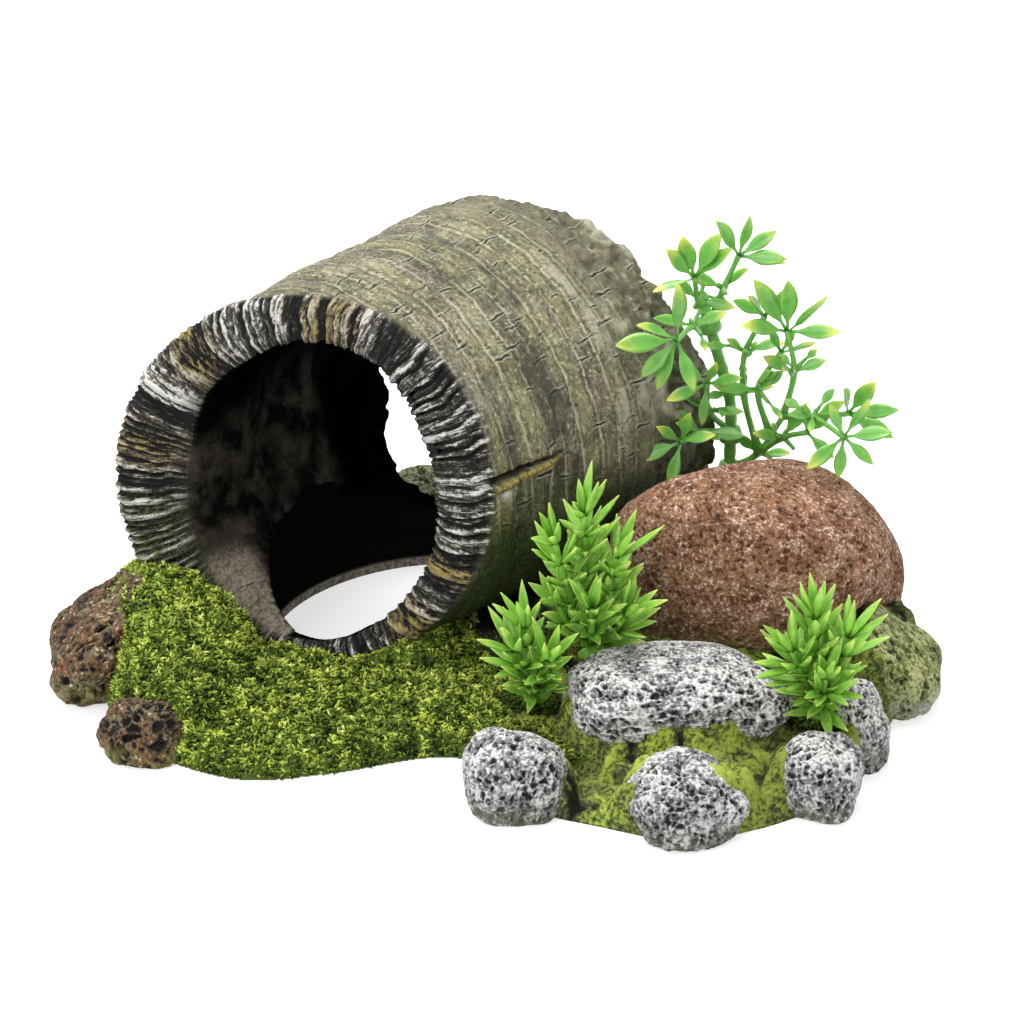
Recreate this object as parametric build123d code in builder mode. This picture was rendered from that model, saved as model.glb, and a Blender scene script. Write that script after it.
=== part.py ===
"""Resin cave ornament: a hollow log lying on a mossy base, with set stones and pull-out plastic plants."""
from build123d import *
from math import cos, radians, sin, sqrt
import os

os.makedirs("parts", exist_ok=True)

# Millimetres. +Z is up and the underside is z = 0. The log's mouth faces -Y.

# Hollow log, lying on the base
LOG_START = Vector(-45.5, -0.3, 47.1)   # where the axis meets the front cut
LOG_TURN = 44.4                         # degrees, from +Y towards +X
LOG_RISE = 3.0                          # degrees, the far end up
LOG_LENGTH = 80.7
LOG_RADIUS = 43.2                       # at the front
LOG_FLARE = 0.05                        # growth in radius for each millimetre of length
FRONT_CUT = (22.2, -10.8)               # turn and rise of the mouth's plane
BACK_CUT_RIGHT = (32.9, 9.1)            # the far end is broken to two slopes
BACK_CUT_LEFT = (20.9, 4.0)
BORE_ROOM = 45.0                        # how far tools run past the log's ends

# The bore: distance along the axis, shift right, shift up, half width, half height
BORE_OVALS = [
    (-BORE_ROOM, 3.0, -1.5, 29.5, 35.0),
    (6.0, 3.0, -1.5, 29.5, 35.0),
    (20.0, 0.5, -0.5, 35.0, 37.0),
    (LOG_LENGTH + BORE_ROOM, 0.0, 0.5, 44.0, 44.5),
]

# Oval window through the log's floor and the base
WINDOW_ALONG = 35.0
WINDOW_HALF_LENGTH = 36.0
WINDOW_HALF_WIDTH = 27.0
WINDOW_TOP = 40.0

# Base: a thick plate with domes of moss bank and stone bed on it
PLATE_HEIGHT = 6.0
PLATE_CHAMFER = 2.5
PLATE_OUTLINE = [
    (-88, -14), (-81, -34), (-58, -50), (-36, -48), (-15, -41), (-2, -44), (4, -60), (18, -70),
    (42, -77), (66, -67), (80, -52), (87, -32), (95, -8), (99, 8), (90, 28), (74, 42), (52, 56),
    (30, 70), (4, 77), (-28, 78), (-60, 56), (-84, 28), (-95, 6),
]
# Domes: centre x and y, half length, half width, height, turn in degrees
MOSS_DOMES = [
    (-74.0, -4.0, 22.0, 39.0, 24.0, 10),
    (-52.0, -18.0, 36.0, 32.0, 10.5, 0),
    (-14.0, -22.0, 30.0, 22.0, 9.0, -20),
]
BED_DOMES = [
    (42.0, -36.0, 42.0, 36.0, 12.0, -5),
    (72.0, 6.0, 26.0, 30.0, 12.0, 20),
]
REAR_DOMES = [(-38.0, 58.0, 26.0, 15.0, 13.0, 40)]
MOSS_THICKNESS = 1.5
MOSS_HEM = 7.0                          # the mat's lowest edge, just above the plate

# Stones: name, centre x and y, height of the widest level, half length, half width,
# height above and below the widest level, turn in degrees
STONES = [
    ("brown_stone_front", 58.5, -0.6, 28.0, 32.0, 23.0, 24.5, 24.0, 0),
    ("brown_stone_rear", 80.0, 11.5, 20.0, 15.5, 16.5, 18.0, 16.0, 35),
    ("lava_rock_left", -89.0, -2.0, 7.0, 14.0, 22.0, 17.5, 7.0, 8),
    ("lava_rock_small", -78.0, -38.0, 3.0, 10.0, 9.5, 9.0, 3.0, -15),
    ("grey_stone_top", 40.5, -39.0, 13.0, 25.5, 16.5, 10.0, 8.0, 4),
    ("grey_stone_front_left", 4.5, -61.5, 5.0, 11.2, 11.3, 12.5, 5.0, 10),
    ("grey_stone_front_mid", 41.0, -72.6, 4.0, 13.3, 11.1, 12.0, 4.0, 20),
    ("grey_stone_front_right", 70.3, -63.0, 5.0, 9.3, 9.5, 11.5, 5.0, -20),
    ("grey_stone_right", 80.4, -39.5, 6.0, 6.8, 11.0, 11.5, 6.0, -8),
    ("corner_stone", 91.8, -10.5, 5.0, 11.0, 17.5, 15.0, 5.0, -12),
    ("rear_rock", -19.0, 74.0, 5.0, 14.0, 8.8, 13.5, 5.0, 25),
]
STONE_LEVELS = (-0.92, -0.62, -0.25, 0.15, 0.52, 0.80, 0.95)

# Plugs of the plants, which pull straight up out of sockets in the base
SOCKET_RADIUS = 2.1
PLUG_CLEARANCE = 0.08
SOCKET_FLOOR = 1.6
PLUG_GAP = 0.5
BOSS_RADIUS = 5.0
FLANGE_RADIUS = 3.2
FLANGE_HEIGHT = 1.4

# Plants: socket x and y, top of the socket's boss
TALL_SOCKET = (55.5, 32.4, 13.5)
LARGE_SOCKET = (22.0, -21.6, 14.5)
SMALL_SOCKET = (9.6, -33.6, 11.0)
RIGHT_SOCKET = (71.5, -43.8, 12.0)

# Bushes: name, socket, tip of the stem, then each tier's share of the height, leaves, length and rise
BUSH_STEM_RADIUS = 0.9
BUSHES = [
    ("large", LARGE_SOCKET, Vector(21.0, -28.4, 53.0), [
        (0.10, 6, 9.0, 22), (0.27, 7, 9.5, 26), (0.45, 7, 16.5, 30),
        (0.61, 7, 17.5, 38), (0.77, 7, 16.5, 48), (0.95, 6, 13.0, 66),
    ]),
    ("small", SMALL_SOCKET, Vector(7.0, -38.0, 30.5), [
        (0.22, 5, 9.5, 20), (0.52, 6, 10.0, 36), (0.92, 5, 12.0, 62),
    ]),
    ("right", RIGHT_SOCKET, Vector(69.5, -45.6, 36.5), [
        (0.18, 6, 10.0, 22), (0.40, 7, 14.5, 30), (0.66, 7, 15.0, 42), (0.94, 6, 12.0, 66),
    ]),
]
TIER_TWIST = 31.0                       # degrees between one tier and the next
TIER_COLLAR_RADIUS = 1.8
TIER_COLLAR_HEIGHT = 2.4
LEAF_THICKNESS = 0.7
BUSH_LEAF_WIDTH = 3.0

# Tall plant: a stem with a knee, and moulded sprays threaded on it
STEM_RADIUS = 1.5
STEM_KNEE = Vector(55.5, 32.4, 54.0)
STEM_TIP = Vector(48.0, 32.4, 80.0)
COLLAR_RADIUS = 2.9
COLLAR_HEIGHT = 4.0
COLLAR_CLEARANCE = 0.08
TWIG_RADIUS = 0.8
TALL_LEAF_SHARE = 0.36                  # width over length

# Each spray: centre of its collar, twigs as chains of points, leaves as root and tip
SPRAY_UPPER_AT = Vector(49.8, 32.4, 73.8)
SPRAY_UPPER_TWIGS = [
    [(49.8, 32.4, 75), (53, 32, 83), (56, 31, 91)],
    [(49.8, 32.4, 75), (47, 32, 80), (46, 30, 86)],
    [(49.8, 32.4, 74), (45, 25, 77), (40, 17, 77)],
]
SPRAY_UPPER_LEAVES = [
    ((56, 31, 91), (66.5, 29, 103.5)), ((56, 31, 91), (52, 30, 101)), ((56, 31, 91), (47, 28, 96)),
    ((56, 31, 91), (71, 27, 93)), ((53, 32, 83), (66, 24, 86)), ((46, 30, 86), (35, 29, 91)),
    ((46, 30, 86), (36, 27, 84)), ((40, 17, 77), (27, 11, 76)), ((40, 17, 77), (33, 11, 64.5)),
    ((40, 17, 77), (30, 14, 84)), ((40, 17, 77), (44, 12, 67)),
]
SPRAY_LEFT_AT = Vector(55.5, 32.4, 46.0)
SPRAY_LEFT_TWIGS = [
    [(55.5, 32.4, 46.5), (48, 24, 50), (43, 16, 51)],
    [(55.5, 32.4, 46.5), (50, 27, 54), (49, 22, 57)],
]
SPRAY_LEFT_LEAVES = [
    ((43, 16, 51), (36, 11, 58)), ((43, 16, 51), (34.5, 9, 53)), ((43, 16, 51), (52, 11, 53)),
    ((49, 22, 57), (40, 18, 62)), ((49, 22, 57), (43, 15, 61)),
]
SPRAY_RIGHT_AT = Vector(55.5, 32.4, 37.0)
SPRAY_RIGHT_TWIGS = [
    [(55.5, 32.4, 37), (62, 30, 42), (67, 24, 54)],
    [(67, 24, 54), (69, 22, 66), (67, 22, 76)],
    [(67, 24, 54), (73, 14, 58), (79, 3, 58)],
    [(73, 14, 58), (81, 14, 59)],
]
SPRAY_RIGHT_LEAVES = [
    ((67, 22, 76), (62, 17, 91)), ((67, 22, 76), (73, 18, 87)), ((67, 22, 76), (77, 15, 79)),
    ((69, 22, 66), (78, 16, 74)), ((81, 14, 59), (92, 9, 58)), ((81, 14, 59), (80, 9, 70)),
    ((79, 3, 58), (88, -4, 55)), ((79, 3, 58), (80, -9, 49)), ((79, 3, 58), (73, -2, 60)),
    ((73, 14, 58), (72, 8, 68)),
]


def bearing(turn, rise):
    """Unit vector turned from +Y towards +X, and tipped up, in degrees."""
    level = cos(radians(rise))
    return Vector(sin(radians(turn)) * level, cos(radians(turn)) * level, sin(radians(rise)))


log_axis = bearing(LOG_TURN, LOG_RISE)
log_right = Vector(cos(radians(LOG_TURN)), -sin(radians(LOG_TURN)), 0)


def log_plane(distance):
    """Plane square to the log's axis, x to the right and y up when seen from the mouth."""
    return Plane(origin=LOG_START + log_axis * distance, x_dir=log_right, z_dir=-log_axis)


def log_oval(distance, right, up, half_width, half_height):
    """Oval section of the log or its bore, on the plane at that distance along the axis."""
    with BuildSketch(log_plane(distance)) as section:
        with Locations((right, up)):
            Ellipse(half_width, half_height)
    return section.sketch


def standing_oval(x, y, height, half_length, half_width, turn):
    """Level oval turned about Z, in degrees."""
    across = (cos(radians(turn)), sin(radians(turn)), 0)
    with BuildSketch(Plane(origin=(x, y, height), x_dir=across, z_dir=(0, 0, 1))) as section:
        Ellipse(half_length, half_width)
    return section.sketch


def disc(start, direction, radius):
    """Circle square to a direction, to be extruded into a rod."""
    with BuildSketch(Plane(origin=start, z_dir=direction)) as section:
        Circle(radius)
    return section.sketch


def leaf_face(root, tip, width):
    """Pointed leaf outline from root to tip, its flat side turned up and to the front."""
    direction = (tip - root).normalized()
    facing = Vector(0, -0.8, 0.6)
    side = direction.cross(facing).normalized()
    length = (tip - root).length
    with BuildSketch(Plane(origin=root, x_dir=direction, z_dir=direction.cross(side))) as section:
        with BuildLine():
            ThreePointArc((0, 0), (length / 2, width / 2), (length, 0))
            ThreePointArc((length, 0), (length / 2, -width / 2), (0, 0))
        make_face()
    return section.sketch


def dome(x, y, half_length, half_width, height, turn, grow=0.0):
    """Low bank standing on z = 0, round on top."""
    with BuildPart() as bank:
        for level in (0.0, 0.35, 0.65, 0.86, 0.97):
            share = sqrt(1 - level ** 2)
            add(standing_oval(x, y, level * (height + grow),
                              share * (half_length + grow), share * (half_width + grow), turn))
        loft()
    return bank.part


def boulder(x, y, middle, half_length, half_width, above, below, turn):
    """Rounded stone: level ovals, widest at the middle height."""
    with BuildPart() as rock:
        for level in STONE_LEVELS:
            rise = above * level / STONE_LEVELS[-1] if level > 0 else -below * level / STONE_LEVELS[0]
            share = sqrt(1 - level ** 2)
            add(standing_oval(x, y, middle + rise, share * half_length, share * half_width, turn))
        loft()
    return rock.part


def keep(piece, name):
    """Label a finished piece and write its STEP file."""
    piece.label = name
    export_step(piece, "parts/" + name + ".step")


def log_end(cut, distance):
    """Plane of one end of the log, through its axis."""
    return Plane(origin=LOG_START + log_axis * distance, z_dir=bearing(*cut))


# ---- Log ----
with BuildPart() as log_blank:
    for distance in (-BORE_ROOM, LOG_LENGTH + BORE_ROOM):
        radius = LOG_RADIUS + LOG_FLARE * distance
        add(log_oval(distance, 0, 0, radius, radius))
    loft()
    split(bisect_by=log_end(FRONT_CUT, 0), keep=Keep.TOP)
    split(bisect_by=log_end(BACK_CUT_RIGHT, LOG_LENGTH), keep=Keep.BOTTOM)
    split(bisect_by=log_end(BACK_CUT_LEFT, LOG_LENGTH), keep=Keep.BOTTOM)

with BuildPart() as log_bore:
    for oval in BORE_OVALS:
        add(log_oval(*oval))
    loft(ruled=True)

window_centre = LOG_START + log_axis * WINDOW_ALONG
with BuildPart() as floor_window:
    add(standing_oval(window_centre.X, window_centre.Y, -1, WINDOW_HALF_LENGTH, WINDOW_HALF_WIDTH,
                      90 - LOG_TURN))
    extrude(amount=WINDOW_TOP)

with BuildPart() as log_shell:
    add(log_blank.part)
    add(log_bore.part, mode=Mode.SUBTRACT)
    add(floor_window.part, mode=Mode.SUBTRACT)
keep(log_shell.part, "log_shell")

# ---- Stones ----
stones = {}
for name, *measures in STONES:
    with BuildPart() as stone:
        add(boulder(*measures))
        add(log_blank.part, mode=Mode.SUBTRACT)
        for earlier in stones.values():
            add(earlier, mode=Mode.SUBTRACT)
    stones[name] = stone.part
    keep(stone.part, name)

# ---- Base ----
with BuildPart() as base_casting:
    with BuildSketch():
        with BuildLine():
            Spline(*PLATE_OUTLINE, periodic=True)
        make_face()
    extrude(amount=PLATE_HEIGHT)
    chamfer(base_casting.faces().sort_by(Axis.Z)[-1].edges(), PLATE_CHAMFER)
    for measures in MOSS_DOMES + BED_DOMES + REAR_DOMES:
        add(dome(*measures))
    for x, y, top in (TALL_SOCKET, LARGE_SOCKET, SMALL_SOCKET, RIGHT_SOCKET):
        with Locations((x, y, top / 2)):
            Cylinder(BOSS_RADIUS, top)
    for x, y, top in (TALL_SOCKET, LARGE_SOCKET, SMALL_SOCKET, RIGHT_SOCKET):
        with Locations((x, y, top)):
            Cylinder(SOCKET_RADIUS, 2 * (top - SOCKET_FLOOR), mode=Mode.SUBTRACT)
        with Locations((x, y, top + BOSS_RADIUS)):
            Cylinder(BOSS_RADIUS, 2 * BOSS_RADIUS, mode=Mode.SUBTRACT)
    add(log_blank.part, mode=Mode.SUBTRACT)
    add(floor_window.part, mode=Mode.SUBTRACT)
    for stone in stones.values():
        add(stone, mode=Mode.SUBTRACT)
keep(base_casting.part, "base_casting")

with BuildPart() as moss_mat:
    for measures in MOSS_DOMES:
        add(dome(*measures, grow=MOSS_THICKNESS))
    split(bisect_by=Plane.XY.offset(MOSS_HEM), keep=Keep.TOP)
    add(base_casting.part, mode=Mode.SUBTRACT)
    add(log_blank.part, mode=Mode.SUBTRACT)
    add(floor_window.part, mode=Mode.SUBTRACT)
    for stone in stones.values():
        add(stone, mode=Mode.SUBTRACT)
keep(moss_mat.part.solids().sort_by(SortBy.VOLUME)[-1], "moss_mat")


# ---- Bushes ----
def plug(socket):
    """Solid pin in the socket, with the flange that rests on the boss."""
    x, y, top = socket
    bottom = SOCKET_FLOOR + PLUG_GAP
    with BuildPart() as pin:
        with Locations((x, y, (bottom + top) / 2)):
            Cylinder(SOCKET_RADIUS - PLUG_CLEARANCE, top - bottom)
        with Locations((x, y, top + FLANGE_HEIGHT / 2)):
            Cylinder(FLANGE_RADIUS, FLANGE_HEIGHT)
    return pin.part


def leaf_tier(centre, axis, count, length, rise, twist):
    """Ring of leaves threaded on a bush's stem."""
    with BuildPart() as ring:
        extrude(disc(centre, axis, TIER_COLLAR_RADIUS), amount=TIER_COLLAR_HEIGHT)
        for index in range(count):
            direction = bearing(twist + 360 * index / count, rise)
            root = centre + axis * (TIER_COLLAR_HEIGHT / 2) + direction * BUSH_STEM_RADIUS
            face = leaf_face(root, root + direction * length, BUSH_LEAF_WIDTH)
            extrude(face, amount=LEAF_THICKNESS / 2, both=True)
        extrude(disc(centre - axis, axis, BUSH_STEM_RADIUS), amount=3 * TIER_COLLAR_HEIGHT,
                mode=Mode.SUBTRACT)
    return ring.part.solids().sort_by(SortBy.VOLUME)[-1]


for name, socket, tip, tiers in BUSHES:
    foot = Vector(socket[0], socket[1], socket[2] + FLANGE_HEIGHT / 2)
    axis = (tip - foot).normalized()
    height = (tip - foot).length
    with BuildPart() as bush_stem:
        add(plug(socket))
        extrude(disc(foot, axis, BUSH_STEM_RADIUS), amount=height)
    keep(bush_stem.part, "bush_" + name + "_stem")
    for number, (share, count, length, rise) in enumerate(tiers, 1):
        centre = foot + axis * (share * (height - TIER_COLLAR_HEIGHT) + FLANGE_HEIGHT / 2)
        keep(leaf_tier(centre, axis, count, length, rise, number * TIER_TWIST),
             "bush_" + name + "_tier_" + str(number))

# ---- Tall plant ----
knee_axis = (STEM_TIP - STEM_KNEE).normalized()
with BuildPart() as tall_stem:
    add(plug(TALL_SOCKET))
    with Locations((TALL_SOCKET[0], TALL_SOCKET[1], (TALL_SOCKET[2] + STEM_KNEE.Z) / 2)):
        Cylinder(STEM_RADIUS, STEM_KNEE.Z - TALL_SOCKET[2])
    extrude(disc(STEM_KNEE, knee_axis, STEM_RADIUS), amount=(STEM_TIP - STEM_KNEE).length)
    for joint in (STEM_KNEE, STEM_TIP):
        with Locations(joint):
            Sphere(STEM_RADIUS)
keep(tall_stem.part, "tall_plant_stem")


def spray(collar, axis, twigs, leaves, clearance):
    """Moulded spray: a collar round the stem, twigs of round section and flat leaves."""
    with BuildPart() as moulding:
        extrude(disc(collar - axis * (COLLAR_HEIGHT / 2), axis, COLLAR_RADIUS), amount=COLLAR_HEIGHT)
        for chain in twigs:
            points = [Vector(*point) for point in chain]
            for start, end in zip(points, points[1:]):
                extrude(disc(start, (end - start).normalized(), TWIG_RADIUS), amount=(end - start).length)
                with Locations(end):
                    Sphere(TWIG_RADIUS)
        for ends in leaves:
            root, tip = (Vector(*point) for point in ends)
            face = leaf_face(root, tip, TALL_LEAF_SHARE * (tip - root).length)
            extrude(face, amount=LEAF_THICKNESS / 2, both=True)
        extrude(disc(collar - axis * COLLAR_HEIGHT, axis, STEM_RADIUS + clearance),
                amount=2 * COLLAR_HEIGHT, mode=Mode.SUBTRACT)
    return moulding.part.solids().sort_by(SortBy.VOLUME)[-1]


upright = Vector(0, 0, 1)
keep(spray(SPRAY_UPPER_AT, knee_axis, SPRAY_UPPER_TWIGS, SPRAY_UPPER_LEAVES, COLLAR_CLEARANCE),
     "tall_plant_spray_upper")
keep(spray(SPRAY_LEFT_AT, upright, SPRAY_LEFT_TWIGS, SPRAY_LEFT_LEAVES, 0), "tall_plant_spray_left")
keep(spray(SPRAY_RIGHT_AT, upright, SPRAY_RIGHT_TWIGS, SPRAY_RIGHT_LEAVES, COLLAR_CLEARANCE),
     "tall_plant_spray_right")
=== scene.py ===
"""Looks for the resin cave ornament: a hollow log on a mossy base, with stones and plastic plants.

All sizes in this script are millimetres in the frame's axes; build() turns them into metres.
"""

from itertools import product
from math import cos, pi, radians, sin

import bmesh
import bpy
import numpy as np
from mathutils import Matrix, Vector


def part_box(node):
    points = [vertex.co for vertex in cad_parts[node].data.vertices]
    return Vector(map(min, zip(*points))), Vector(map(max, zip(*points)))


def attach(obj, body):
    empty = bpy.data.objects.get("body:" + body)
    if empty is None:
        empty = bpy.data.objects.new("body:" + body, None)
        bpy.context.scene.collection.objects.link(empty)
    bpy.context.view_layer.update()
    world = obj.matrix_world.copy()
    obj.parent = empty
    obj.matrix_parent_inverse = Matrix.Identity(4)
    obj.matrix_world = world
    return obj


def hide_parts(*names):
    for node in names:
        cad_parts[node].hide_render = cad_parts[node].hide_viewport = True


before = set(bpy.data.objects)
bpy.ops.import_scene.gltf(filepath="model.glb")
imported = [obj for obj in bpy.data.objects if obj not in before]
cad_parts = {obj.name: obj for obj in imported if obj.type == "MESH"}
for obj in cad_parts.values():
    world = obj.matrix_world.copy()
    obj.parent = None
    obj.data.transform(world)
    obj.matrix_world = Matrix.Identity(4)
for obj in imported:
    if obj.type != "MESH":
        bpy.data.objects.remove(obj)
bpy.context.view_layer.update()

MM = 0.001                                  # metres in a millimetre
UP = (0, 0, 1)

# ---------------------------------------------------------------- places
# The log lies along `along`; `right` and `upward` are the directions across it.
LOG_START = np.array([-45.5, -0.3, 47.1])
LOG_TURN = radians(44.4)
LOG_RISE = radians(3.0)
LOG_LENGTH = 80.7
LOG_RADIUS = 43.2
LOG_FLARE = 0.05
along = np.array([sin(LOG_TURN) * cos(LOG_RISE), cos(LOG_TURN) * cos(LOG_RISE), sin(LOG_RISE)])
right = np.array([cos(LOG_TURN), -sin(LOG_TURN), 0.0])
upward = np.cross(right, along)
FRONT_SLOPE = (0.4121, 0.2023)              # how far the mouth leans, for each millimetre right and up
BACK_SLOPES = [(0.202, -0.110), (0.4337, -0.0238)]
# The bore: distance along, shift right, shift up, half width, half height
BORE_OVALS = [(6.0, 3.0, -1.5, 29.5, 35.0), (20.0, 0.5, -0.5, 35.0, 37.0), (125.7, 0.0, 0.5, 44.0, 44.5)]

WINDOW_ALONG = 35.0
WINDOW_HALF = (36.0, 27.0)
WINDOW_TOP = 40.0
window_centre = LOG_START + along * WINDOW_ALONG

PLATE_HEIGHT = 6.0
PLATE_OUTLINE = [
    (-88, -14), (-81, -34), (-58, -50), (-36, -48), (-15, -41), (-2, -44), (4, -60), (18, -70),
    (42, -77), (66, -67), (80, -52), (87, -32), (95, -8), (99, 8), (90, 28), (74, 42), (52, 56),
    (30, 70), (4, 77), (-28, 78), (-60, 56), (-84, 28), (-95, 6),
]
# Domes: centre x and y, half length, half width, height, turn in degrees
MOSS_DOMES = [(-74, -4, 22, 39, 24, 10), (-52, -18, 36, 32, 10.5, 0), (-14, -22, 30, 22, 9, -20)]
OTHER_DOMES = [(42, -36, 42, 36, 12, -5), (72, 6, 26, 30, 12, 20), (-38, 58, 26, 15, 13, 40)]
# Sockets of the plants: x, y, top of the boss
SOCKETS = {
    "tall": (55.5, 32.4, 13.5), "large": (22.0, -21.6, 14.5),
    "small": (9.6, -33.6, 11.0), "right": (71.5, -43.8, 12.0),
}
SOCKET_RADIUS = 2.1
SOCKET_FLOOR = 1.6


# ---------------------------------------------------------------- repeatable noise
def scramble(cell, seed):
    """A repeatable random number from 0 to 1 for each whole-number cell."""
    c = cell.astype(np.int64).astype(np.uint64)
    mixed = c[..., 0] * np.uint64(73856093) ^ c[..., 1] * np.uint64(19349663)
    mixed = mixed ^ c[..., 2] * np.uint64(83492791)
    mixed = (mixed + np.uint64(seed * 2654435761)) * np.uint64(0x9E3779B97F4A7C15)
    mixed = (mixed ^ (mixed >> np.uint64(29))) * np.uint64(0xBF58476D1CE4E5B9)
    return ((mixed ^ (mixed >> np.uint64(32))) & np.uint64(0xFFFFFFFF)).astype(float) / 2.0 ** 32


def lumps(points, size, seed, layers=1):
    """Smooth noise from about -1 to 1 with lumps about `size` across; each layer halves the size."""
    total = np.zeros(points.shape[:-1])
    weight_sum = 0.0
    for layer in range(layers):
        spot = points * (2.0 ** layer / size) + 17.3 * layer
        low = np.floor(spot)
        share = spot - low
        share = share * share * (3 - 2 * share)
        value = np.zeros_like(total)
        for corner in product((0, 1), repeat=3):
            weight = np.prod(np.where(corner, share, 1 - share), axis=-1)
            value += weight * scramble(low + corner, seed + layer)
        total += (2 * value - 1) * 0.55 ** layer
        weight_sum += 0.55 ** layer
    return total / weight_sum


def cells(points, size, seed):
    """Distances, in cell sizes, to the nearest two of a set of random points, and the nearest's number."""
    spot = points / size
    low = np.floor(spot)
    nearest = np.full(points.shape[:-1], 9.0)
    second = nearest.copy()
    number = np.zeros_like(nearest)
    for offset in product((-1, 0, 1), repeat=3):
        cell = low + offset
        centre = cell + np.stack([scramble(cell, seed + k) for k in range(3)], axis=-1)
        distance = np.linalg.norm(centre - spot, axis=-1)
        second = np.minimum(second, np.maximum(distance, nearest))
        number = np.where(distance < nearest, scramble(cell, seed + 3), number)
        nearest = np.minimum(nearest, distance)
    return nearest, second, number


def smooth_step(low, high, value):
    """0 below `low`, 1 above `high`, smooth between."""
    share = np.clip((value - low) / (high - low), 0, 1)
    return share * share * (3 - 2 * share)


def flat(x, y):
    """Points of a plane as 3-D points for the noise."""
    x, y = np.broadcast_arrays(x, y)
    return np.stack([x, y, np.zeros(x.shape)], axis=-1)


# ---------------------------------------------------------------- meshes
def build(name, points, faces, material, body, values):
    """A piece from points in millimetres and one array of faces, or a list of them; it rides on `body`."""
    faces = faces if isinstance(faces, list) else [faces]
    mesh = bpy.data.meshes.new(name)
    mesh.vertices.add(len(points))
    mesh.vertices.foreach_set("co", (np.asarray(points, float) * MM).ravel())
    corners = np.concatenate([f.ravel() for f in faces]).astype(np.int32)
    sizes = np.concatenate([np.full(len(f), f.shape[1]) for f in faces])
    starts = np.concatenate([[0], np.cumsum(sizes)[:-1]]).astype(np.int32)
    mesh.loops.add(len(corners))
    mesh.loops.foreach_set("vertex_index", corners)
    mesh.polygons.add(len(sizes))
    mesh.polygons.foreach_set("loop_start", starts)
    mesh.update(calc_edges=True)
    mesh.shade_smooth()
    for key, value in values.items():
        layer = mesh.attributes.new(key, "FLOAT", "POINT")
        layer.data.foreach_set("value", np.asarray(value, np.float32).ravel())
    mesh.materials.append(material)
    piece = bpy.data.objects.new(name, mesh)
    bpy.context.scene.collection.objects.link(piece)
    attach(piece, body)
    return piece


def grid_faces(rows, columns, close_rows=False, close_columns=False):
    """Quads of a grid of points numbered row by row."""
    i = np.arange(rows if close_rows else rows - 1)
    j = np.arange(columns if close_columns else columns - 1)
    i, j = (g.ravel() for g in np.meshgrid(i, j, indexing="ij"))
    down = (i + 1) % rows
    across = (j + 1) % columns
    return np.stack([i * columns + j, i * columns + across, down * columns + across, down * columns + j], 1)


def tube_faces(rings, sides):
    """Faces of a tube of rings of points, closed at both ends."""
    return [grid_faces(rings, sides, close_columns=True), np.arange(sides)[None, ::-1],
            np.arange(sides)[None, :] + (rings - 1) * sides]


def full_turn(steps):
    """Even angles right round a circle."""
    return np.arange(steps) * 2 * pi / steps


def curve(before, start, end, after, t):
    """The smooth curve from start to end at share t, led by the points before and after them."""
    return 0.5 * (2 * start + (end - before) * t + (2 * before - 5 * start + 4 * end - after) * t ** 2
                  + (3 * start - before - 3 * end + after) * t ** 3)


def point_normals(points, faces):
    """Unit normals at the points of a mesh of one kind of face."""
    corners = points[faces]
    face_normals = np.cross(corners[:, 1] - corners[:, 0], corners[:, -1] - corners[:, 0])
    normals = np.zeros_like(points)
    for k in range(faces.shape[1]):
        np.add.at(normals, faces[:, k], face_normals)
    return normals / np.maximum(np.linalg.norm(normals, axis=1, keepdims=True), 1e-9)


def ball(level):
    """Points and triangles of a unit sphere of even triangles."""
    bm = bmesh.new()
    bmesh.ops.create_icosphere(bm, subdivisions=level, radius=1.0)
    points = np.array([v.co[:] for v in bm.verts])
    faces = np.array([[v.index for v in f.verts] for f in bm.faces])
    bm.free()
    return points, faces


class Soup:
    """Many small parts gathered into one mesh."""

    def __init__(self):
        self.points = []
        self.faces = {}
        self.values = {}
        self.count = 0

    def add(self, points, faces, **values):
        """Adds a part; its faces are numbered from its own first point."""
        for part in faces if isinstance(faces, list) else [faces]:
            self.faces.setdefault(part.shape[1], []).append(part + self.count)
        self.points.append(points)
        for key, value in values.items():
            self.values.setdefault(key, []).append(np.broadcast_to(value, len(points)))
        self.count += len(points)

    def build(self, name, material, body):
        """One piece from all that was added."""
        faces = [np.concatenate(parts) for parts in self.faces.values()]
        values = {key: np.concatenate(parts) for key, parts in self.values.items()}
        return build(name, np.concatenate(self.points), faces, material, body, values)


# ---------------------------------------------------------------- materials
class Number:
    """A number made by a material's nodes; the usual signs add math nodes to it."""

    def __init__(self, surface, socket):
        self.surface = surface
        self.socket = socket

    def __add__(self, other):
        return self.surface.math("ADD", self, other)

    def __sub__(self, other):
        return self.surface.math("SUBTRACT", self, other)

    def __mul__(self, other):
        return self.surface.math("MULTIPLY", self, other)

    def __truediv__(self, other):
        return self.surface.math("DIVIDE", self, other)

    def __abs__(self):
        return self.surface.math("ABSOLUTE", self)

    def ramp(self, low, high, bottom=0.0, top=1.0):
        """The range from low to high, spread over bottom to top and held there."""
        node = self.surface.node("MapRange", Value=self)
        node.interpolation_type = "SMOOTHSTEP"
        for socket, number in zip(("From Min", "From Max", "To Min", "To Max"), (low, high, bottom, top)):
            node.inputs[socket].default_value = number
        return Number(self.surface, node.outputs["Result"])


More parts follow.
